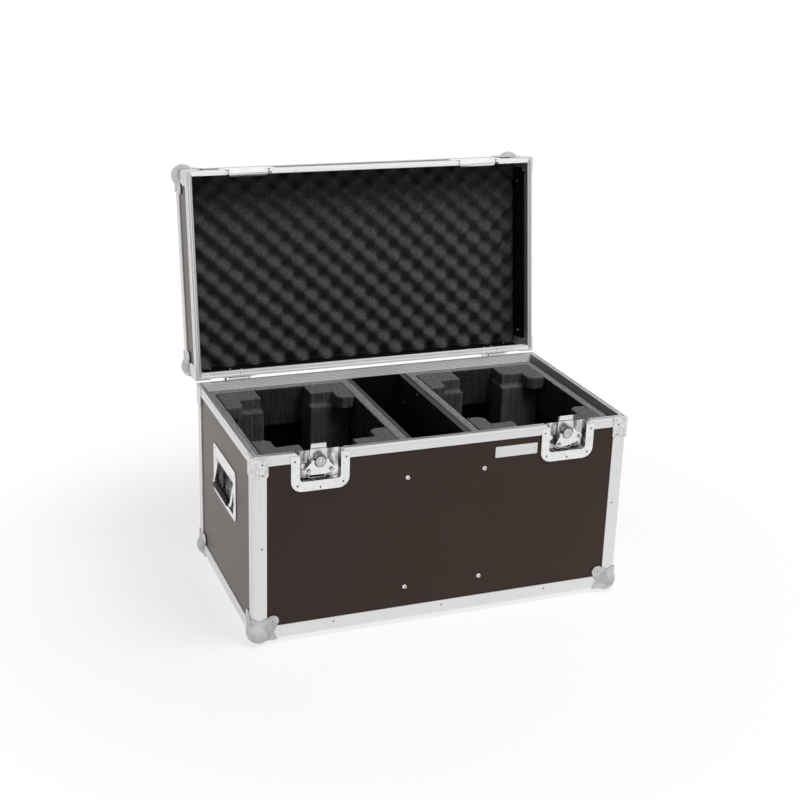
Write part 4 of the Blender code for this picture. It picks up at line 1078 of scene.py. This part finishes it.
# %% [markdown]
# The CAD's hub is a shaft with a disc in front. Its copy gives the hub's outline, a ring painted dark as a
# shadow gap, and the stepped button is laid into it. Bright and dark finishes are then given by the distance
# from the hub's axis; the button's sides and groove are painted dark as shade.
# %% Hubs
HUB_RADIUS, HUB_FACE, HUB_THICKNESS = 0.0094, -HALF_DEPTH - 0.0002, 0.0040
HUB_RIM, HUB_OUTLINE, RIM_SLACK = 0.0098, 0.0007, 0.0002
DISC_PROUD, DISC_FRONT, BUTTON_TOP = 0.0005, 0.0008, 0.0001
GROOVE_OUT, GROOVE_IN = HUB_RADIUS - 0.0016, HUB_RADIUS - 0.0020
BUTTON_RINGS = ((0.0004, 0.0004), (0.0012, 0.0), (0.0002, -0.0005), (0.0002, 0.0),
                (0.0003, 0.0006), (0.0020, 0.0005), (0.0025, 0.0002))
for name, side in SIDES:
    hub = merged_copy("latch_hub_" + name)
    hub.data.materials.append(satin_zinc)
    edit(hub)
    pick_faces(lambda middle, normal: -normal.y > LOOKS_ALONG and middle.y < HUB_FACE - DISC_PROUD)
    inset((HUB_OUTLINE, 0.0))
    done()
    second_material(hub, hub_zinc, lambda middle: middle.y < HUB_FACE - DISC_FRONT)
    # The ring at the hub's rim is painted dark: a painted shadow gap.
    second_material(hub, mandrel_and_shade, lambda middle:
                    HUB_RIM - HUB_OUTLINE < from_hub(middle, side) < HUB_RIM + RIM_SLACK)
    bevelled(hub, BAR_BEVEL)
    button = cylinder(48, HUB_RADIUS, HUB_THICKNESS,
                      (side * LATCH_X, HUB_FACE + HUB_THICKNESS / 2, HUB_Z), (satin_zinc,))
    inset_front(button, *BUTTON_RINGS)
    second_material(button, hub_zinc, lambda middle: from_hub(middle, side) < GROOVE_IN)
    # The button's sides and its groove are painted dark: painted shade.
    second_material(button, mandrel_and_shade, lambda middle: middle.y > HUB_FACE + BUTTON_TOP
                    or GROOVE_IN < from_hub(middle, side) < GROOVE_OUT)
    hub = smooth(joined([button, hub]))
    settle(hub, "turned_latch_hub_" + name, "latch_hub_" + name)
    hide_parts("latch_hub_" + name)

# %% [markdown]
# ## Small works in the latch dish
#
# Round bosses are pressed up from the dish's floor where rivets hold the works behind it, a coil spring
# pulls the hook down, and a little bracket stands under the wing, the inside of its slot painted dark as
# shade.
# The wing's ears carry the pins that it folds on. A boss is a sphere squashed by scaling, and the spring a
# curve that climbs in turns.
# %% Bosses, slot brackets and springs
FLOOR_Y = -0.1872
BOSSES, BOSS_SQUASH = ((-0.0285, -0.0110, 0.0062), (0.0215, -0.0235, 0.0056)), (1.0, 1.0, 0.75)
BOSS_RING, BOSS_TOP, SLOT_RINGS = (0.0006, -0.0005), 0.985, ((0.0009, 0.0), (0.0001, -0.0055))
BRACKET_ACROSS, BRACKET_Z, BRACKET_SIZE = -0.0040, HUB_Z - 0.0285, (0.0300, 0.0070, 0.0060)
BRACKET_Y, SLOT_Y, SLOT_HALF_X, SLOT_HALF_Z = FLOOR_Y - 0.0030, FLOOR_Y - 0.0060, 0.0142, 0.0022
SPRING_ACROSS, SPRING_Y, SPRING_LOW, SPRING_LENGTH = -0.0240, FLOOR_Y - 0.0036, HUB_Z - 0.0040, 0.0180
SPRING_RADIUS, SPRING_WIRE, TURNS, STEPS = 0.0024, 0.0006, 6, 14
dish_works = []
for name, side in SIDES:
    for across, up, radius in BOSSES:
        place = (side * LATCH_X + across, FLOOR_Y, HUB_Z + up)
        boss = primitive(bpy.ops.mesh.primitive_uv_sphere_add, (bright_zinc,), segments=32, ring_count=16,
                         radius=radius, location=place, rotation=(QUARTER_TURN, 0.0, 0.0), scale=BOSS_SQUASH)
        inset_front(boss, BOSS_RING, least=BOSS_TOP)
        dish_works.append(smooth(boss))
    bracket_x = side * LATCH_X + BRACKET_ACROSS
    bracket = block((bracket_x, BRACKET_Y, BRACKET_Z), BRACKET_SIZE, (satin_zinc,))
    inset_front(bracket, *SLOT_RINGS)
    # The inside of the slot is painted dark: painted shade.
    second_material(bracket, mandrel_and_shade, lambda middle: middle.y > SLOT_Y
                    and abs(middle.x - bracket_x) < SLOT_HALF_X and abs(middle.z - BRACKET_Z) < SLOT_HALF_Z)
    dish_works.append(smooth(bracket))
    coil = [(side * LATCH_X + SPRING_ACROSS + SPRING_RADIUS * math.cos(2 * math.pi * step / STEPS),
             SPRING_Y + SPRING_RADIUS * math.sin(2 * math.pi * step / STEPS),
             SPRING_LOW + SPRING_LENGTH * step / (TURNS * STEPS)) for step in range(TURNS * STEPS + 1)]
    spring = bent_rod(coil, SPRING_WIRE, 3)
    spring.data.materials.append(bright_zinc)
    dish_works.append(smooth(spring, 60.0))
settle(joined(dish_works), "latch_dish_works", "base")

# %% Pins in the ears of the wings
PIN_RADIUS, PIN_CORE, PIN_DEPTH, EAR_REACH, EAR_DROP = 0.0030, 0.0020, 0.0008, 0.0208, 0.0163
PIN_RINGS, WING_FACE, BRIGHT_FROM = ((0.0011, 0.0), (0.0003, 0.0004)), -0.2002, 0.00035
WING_TURNS = {"left": 0.0, "right": -17.0}
for name, side in SIDES:
    turned = Matrix.Rotation(math.radians(WING_TURNS[name]), 4, "Y")
    pins = []
    for ear in (-EAR_REACH, EAR_REACH):
        pin = cylinder(20, PIN_RADIUS, PIN_DEPTH, (ear, WING_FACE, -EAR_DROP), (mandrel_and_shade,))
        inset_front(pin, *PIN_RINGS)
        second_material(pin, satin_zinc, lambda middle: middle.y < WING_FACE - BRIGHT_FROM
                        and (middle.xz - Vector((ear, -EAR_DROP))).length < PIN_CORE)
        pin.data.transform(Matrix.Translation((side * LATCH_X, 0.0, HUB_Z)) @ turned)
        pins.append(smooth(pin))
    settle(joined(pins), "wing_pins_" + name, "latch_wing_" + name)

# %% [markdown]
# ## Handles
#
# A sprung handle hangs in a dish on each side: a bright steel bail with a black rubber sleeve. The bail is a
# curve given the rod's thickness and made a mesh; the sleeve is a cylinder with rounded ends.
# %% Handle dishes, bails and sleeves
PIVOT_X, PIVOT_Z = HALF_WIDTH - 0.0030, HANDLE_Z + 0.0170
GRIP_X, GRIP_Z = HALF_WIDTH + 0.0042, HANDLE_Z - 0.0235
ARM, PIVOT_END, BEND, ROD_RADIUS = 0.0600, 0.0635, 0.0032, 0.0026
SLEEVE_LENGTH, SLEEVE_RADIUS, HANDLE_INSIDE_X = 0.096, 0.0060, HALF_WIDTH - 0.0018
SLEEVE_WALL, SLEEVE_CUP, SLEEVE_BEVEL = 0.0030, 0.0006, 0.0009


def rounded_path(corners, reach, steps=6):
    """Corner points with each inner corner replaced by a smooth bend."""
    path = [Vector(corners[0])]
    for before, corner, after in zip(corners, corners[1:], corners[2:]):
        before, corner, after = Vector(before), Vector(corner), Vector(after)
        start = corner + (before - corner).normalized() * reach
        end = corner + (after - corner).normalized() * reach
        for step in range(steps + 1):
            share = step / steps
            path.append(start * (1 - share) ** 2 + corner * (2 * share * (1 - share)) + end * share ** 2)
    path.append(Vector(corners[-1]))
    return path


for name, side in SIDES:
    piece = bevelled(merged_copy("handle_dish_" + name), SHEET_BEVEL)
    piece.data.materials.append(satin_zinc)
    # The handle dish's inside gets painted shade.
    second_material(piece, handle_painted_shade, lambda middle: abs(middle.x) < HANDLE_INSIDE_X)
    settle(piece, "pressed_handle_dish_" + name, "base")
    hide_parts("handle_dish_" + name)
    pivot_x, grip_x, y = side * PIVOT_X, side * GRIP_X, HANDLE_Y
    corners = [(pivot_x, y - PIVOT_END, PIVOT_Z), (pivot_x, y - ARM, PIVOT_Z), (grip_x, y - ARM, GRIP_Z),
               (grip_x, y + ARM, GRIP_Z), (pivot_x, y + ARM, PIVOT_Z), (pivot_x, y + PIVOT_END, PIVOT_Z)]
    bail = smooth(bent_rod(rounded_path(corners, BEND), ROD_RADIUS))
    settle(bail, "handle_bail_" + name, "handle_" + name, bright_zinc)
    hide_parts("handle_grip_" + name)
    sleeve = cylinder(32, SLEEVE_RADIUS, SLEEVE_LENGTH, (grip_x, y, GRIP_Z))
    edit(sleeve)
    pick_faces(lambda middle, normal: abs(normal.y) > LOOKS_ALONG)
    bpy.ops.mesh.inset(thickness=SLEEVE_WALL, depth=-SLEEVE_CUP, use_individual=True)
    done()
    bevelled(sleeve, SLEEVE_BEVEL, 3, 35.0)
    settle(sleeve, "handle_sleeve_" + name, "handle_" + name, rubber)

# %% [markdown]
# ## Hinges and the back rim
#
# The hinge leaves keep the CAD's shape. The photograph shows two fine dark butt seams across each back rim,
# where the profile is pieced together, and the dark ends of the hinges' knuckles. A seam is a thin dark
# block, in two lengths on the base so that it leaves the groove free.
# %% Hinge leaves
for name, side in SIDES:
    for node, body in (("hinge_base_leaf_" + name, "base"), ("hinge_lid_leaf_" + name, "lid")):
        piece = bevelled(merged_copy(node), BAR_BEVEL)
        settle(piece, "folded_" + node, body, satin_zinc)
        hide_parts(node)

# %% Seams and knuckle ends
SEAM_WIDTH, SEAM_PROUD, SEAM_XS = 0.0006, 0.00014, (-0.273, 0.278)
GROOVE_NEAR, GROOVE_FAR, SEAM_END = 0.0028, 0.0053, PROFILE_WIDTH + SEAM_PROUD
BASE_SEAMS = (0.3330, RIM + SEAM_PROUD, ((0.0, GROOVE_NEAR), (GROOVE_FAR, SEAM_END)))
LID_SEAMS = (LID_RIM - SEAM_PROUD, 0.3685, ((0.0, SEAM_END),))
for body, (low, high, runs) in (("base", BASE_SEAMS), ("lid", LID_SEAMS)):
    piece = joined([block((x, HALF_DEPTH - (near + far) / 2, (high + low) / 2),
                          (SEAM_WIDTH, far - near, high - low)) for x in SEAM_XS for near, far in runs])
    if body == "lid":
        piece.data.transform(OPEN_LID)
    settle(piece, body + "_rim_seams", body, seam_shadow)
KNUCKLES = ((-0.3038, 0.0021), (-0.2580, 0.0009), (0.2451, 0.0014), (0.2582, 0.0014))
KNUCKLE_Y, KNUCKLE_Z, KNUCKLE_DEPTH = 0.2008, 0.3523, 0.0010
knuckles = [cylinder(12, radius, KNUCKLE_DEPTH, (x, KNUCKLE_Y, KNUCKLE_Z)) for x, radius in KNUCKLES]
settle(joined(knuckles), "hinge_knuckle_ends", "base", mandrel_and_shade)

# %% [markdown]
# ## Foam linings and blocks
#
# The foam is cut, not moulded: square forms whose edges are slightly soft and whose faces are never true.
# Each copy of a CAD solid is remeshed to small even faces, smoothed so that its edges go round, and pushed in
# and out by about half a millimetre by two cloud patterns.
# %% Soft copies of the foam solids
LINING_VOXEL, BLOCK_VOXEL = 0.0026, 0.0023
cut_noise = bpy.data.textures.new("cut_noise", "CLOUDS")
cut_noise.noise_scale = 0.03
pore_noise = bpy.data.textures.new("pore_noise", "CLOUDS")
pore_noise.noise_scale = 0.004


def soft_copy(node, voxel, material):
    """Replaces a foam solid of the base by a copy with soft edges and uneven faces."""
    piece = merged_copy(node)
    modify(piece, "REMESH", mode="VOXEL", voxel_size=voxel)
    modify(piece, "SMOOTH", factor=0.5, iterations=1)
    for texture, strength in ((cut_noise, 0.0014), (pore_noise, 0.0009)):
        modify(piece, "DISPLACE", texture=texture, strength=strength, mid_level=0.55, texture_coords="LOCAL")
    smooth(piece, 80.0)
    settle(piece, "cut_" + node, "base", material)
    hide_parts(node)
    print(piece.name, "faces:", len(piece.data.polygons))


for name, side in SIDES:
    soft_copy("bay_lining_" + name, LINING_VOXEL, lining_foam)
    for corner in ("front_left", "front_right", "back_left", "back_right"):
        soft_copy("foam_block_" + name + "_" + corner, BLOCK_VOXEL, block_foam)

# %% [markdown]
# ## Egg-crate foam
#
# The lid is lined with convoluted foam: round peaks and hollows by turns, 51 mm apart along the case and
# 48 mm apart across it, with every other row moved half a pitch. The product of two cosines has just that
# pattern. A grid at the sheet's size takes it in its points' heights, in waves of 20 mm, and is then extruded
# to the flat side that is glued to the lid.
# %% Egg-crate foam
CRATE_RIGHT, CRATE_BACK, CRATE_GLUED = 0.344, 0.1903, 0.4431
CRATE_BASE, CRATE_WAVE = 0.022, 0.020
PITCH_X, PITCH_Y = 0.051, 0.048
HOLLOW_X, HOLLOW_Y = 0.0243, 0.0211


def set_heights(height):
    """Gives each picked point of the edited piece a height that follows from its place."""
    shape = bmesh.from_edit_mesh(bpy.context.edit_object.data)
    for point in shape.verts:
        if point.select:
            point.co.z = height(point.co)
    bmesh.update_edit_mesh(bpy.context.edit_object.data)


def egg_wave(place):
    wave = math.cos(2 * math.pi * (place.x - HOLLOW_X) / PITCH_X)
    wave *= math.cos(2 * math.pi * (place.y - HOLLOW_Y) / PITCH_Y)
    return place.z + wave * CRATE_WAVE / 2


crate = primitive(bpy.ops.mesh.primitive_grid_add, x_subdivisions=196, y_subdivisions=105, size=1.0)
edit(crate)
bpy.ops.mesh.select_all(action="SELECT")
bpy.ops.transform.resize(value=(2 * CRATE_RIGHT, 2 * CRATE_BACK, 1.0))
bpy.ops.transform.translate(value=(0.0, 0.0, CRATE_GLUED - CRATE_BASE - CRATE_WAVE / 2))
set_heights(egg_wave)
bpy.ops.mesh.extrude_region_move(TRANSFORM_OT_translate={"value": (0.0, 0.0, CRATE_WAVE / 2)})
set_heights(lambda place: CRATE_GLUED)
bpy.ops.mesh.select_all(action="SELECT")
bpy.ops.mesh.normals_make_consistent(inside=False)
done()
smooth(crate, 70.0).data.transform(OPEN_LID)
settle(crate, "convoluted_foam", "lid", crate_foam)
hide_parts("egg_crate_foam")
print("egg-crate faces:", len(crate.data.polygons))

# %% [markdown]
# ## Floor, background and light
#
# The photograph is a product shot on pure white. A pale floor takes the case's soft shadow, and the world is
# white to the camera, to gloss and to glass. One large soft lamp hangs above, a little to the right: it
# grazes the lid's foam, so that every hollow fills with shadow and the ridges between them catch light.
# %% Floor
FLOOR_Z, FLOOR_SIZE = cad_box[0][2], 30.0
WHITE = (1.0, 1.0, 1.0, 1.0)
nothing_selected()
bpy.ops.mesh.primitive_grid_add(x_subdivisions=8, y_subdivisions=8, size=FLOOR_SIZE,
                                location=(0.0, 0.0, FLOOR_Z))
floor = bpy.context.object
floor.name = "studio_floor"
paper = Finish("studio_paper", Roughness=0.9, Specular_IOR_Level=0.1)
paper.greys(paper.noise(3.0, 2.0), 0.88, 0.90)


def seen_directly(tree):
    """A socket that is 1 where the eye, gloss or glass looks, and 0 where light is only passed on."""
    paths = tree.nodes.new("ShaderNodeLightPath")
    socket = paths.outputs["Is Camera Ray"]
    for ray in ("Is Glossy Ray", "Is Transmission Ray"):
        largest = tree.nodes.new("ShaderNodeMath")
        largest.operation = "MAXIMUM"
        tree.links.new(socket, largest.inputs[0])
        tree.links.new(paths.outputs[ray], largest.inputs[1])
        socket = largest.outputs[0]
    return socket


# %% [markdown]
# Seen directly, the floor is plain white from a metre away. Near the case it keeps a quarter of its own
# shade, so that a faint shadow shows and runs out softly into the background.
# %% Fade the floor to white
SHADOW_KEPT, SHADOW_END, WHITE_FROM = 0.24, 0.50, 1.00
away = paper.value("ShaderNodeVectorMath", {"operation": "LENGTH"}, {0: paper.place}, "Value")
kept = paper.range(away, SHADOW_END, WHITE_FROM, SHADOW_KEPT, 0.0)
share = paper.math("MULTIPLY", seen_directly(paper.tree), 1.0 - kept)
white = paper.node("ShaderNodeEmission", {}, {"Color": WHITE, "Strength": 1.0})
lit_or_white = paper.node("ShaderNodeMixShader", {}, {0: share, 1: paper.shader.outputs[0],
                                                      2: white.outputs[0]})
paper.feed(paper.tree.nodes["Material Output"].inputs["Surface"], lit_or_white.outputs[0])
floor.data.materials.append(paper.material)

# %% World
WORLD_LIGHT = 0.16
world = bpy.data.worlds.new("studio")
bpy.context.scene.world = world
world.use_nodes = True
sky = world.node_tree
background = sky.nodes["Background"]
strength = sky.nodes.new("ShaderNodeMapRange")
strength.inputs["To Min"].default_value = WORLD_LIGHT
strength.inputs["To Max"].default_value = 1.0
sky.links.new(seen_directly(sky), strength.inputs["Value"])
sky.links.new(strength.outputs[0], background.inputs["Strength"])
background.inputs["Color"].default_value = WHITE

# %% Lamp
LAMP_PLACE, LAMP_TARGET, LAMP_SIZE, LAMP_WATTS = Vector((0.9, -0.8, 2.8)), Vector((0.0, 0.1, 0.4)), 1.8, 85.0
lamp_data = bpy.data.lights.new("lamp_above", "AREA")
lamp_data.size = LAMP_SIZE
lamp_data.energy = LAMP_WATTS
lamp = bpy.data.objects.new("lamp_above", lamp_data)
lamp.visible_glossy = False
bpy.context.scene.collection.objects.link(lamp)
aim = (LAMP_TARGET - LAMP_PLACE).to_track_quat("-Z", "Y").to_matrix().to_4x4()
lamp.matrix_world = Matrix.Translation(LAMP_PLACE) @ aim
print("lamp:", lamp.name, LAMP_WATTS, "W")
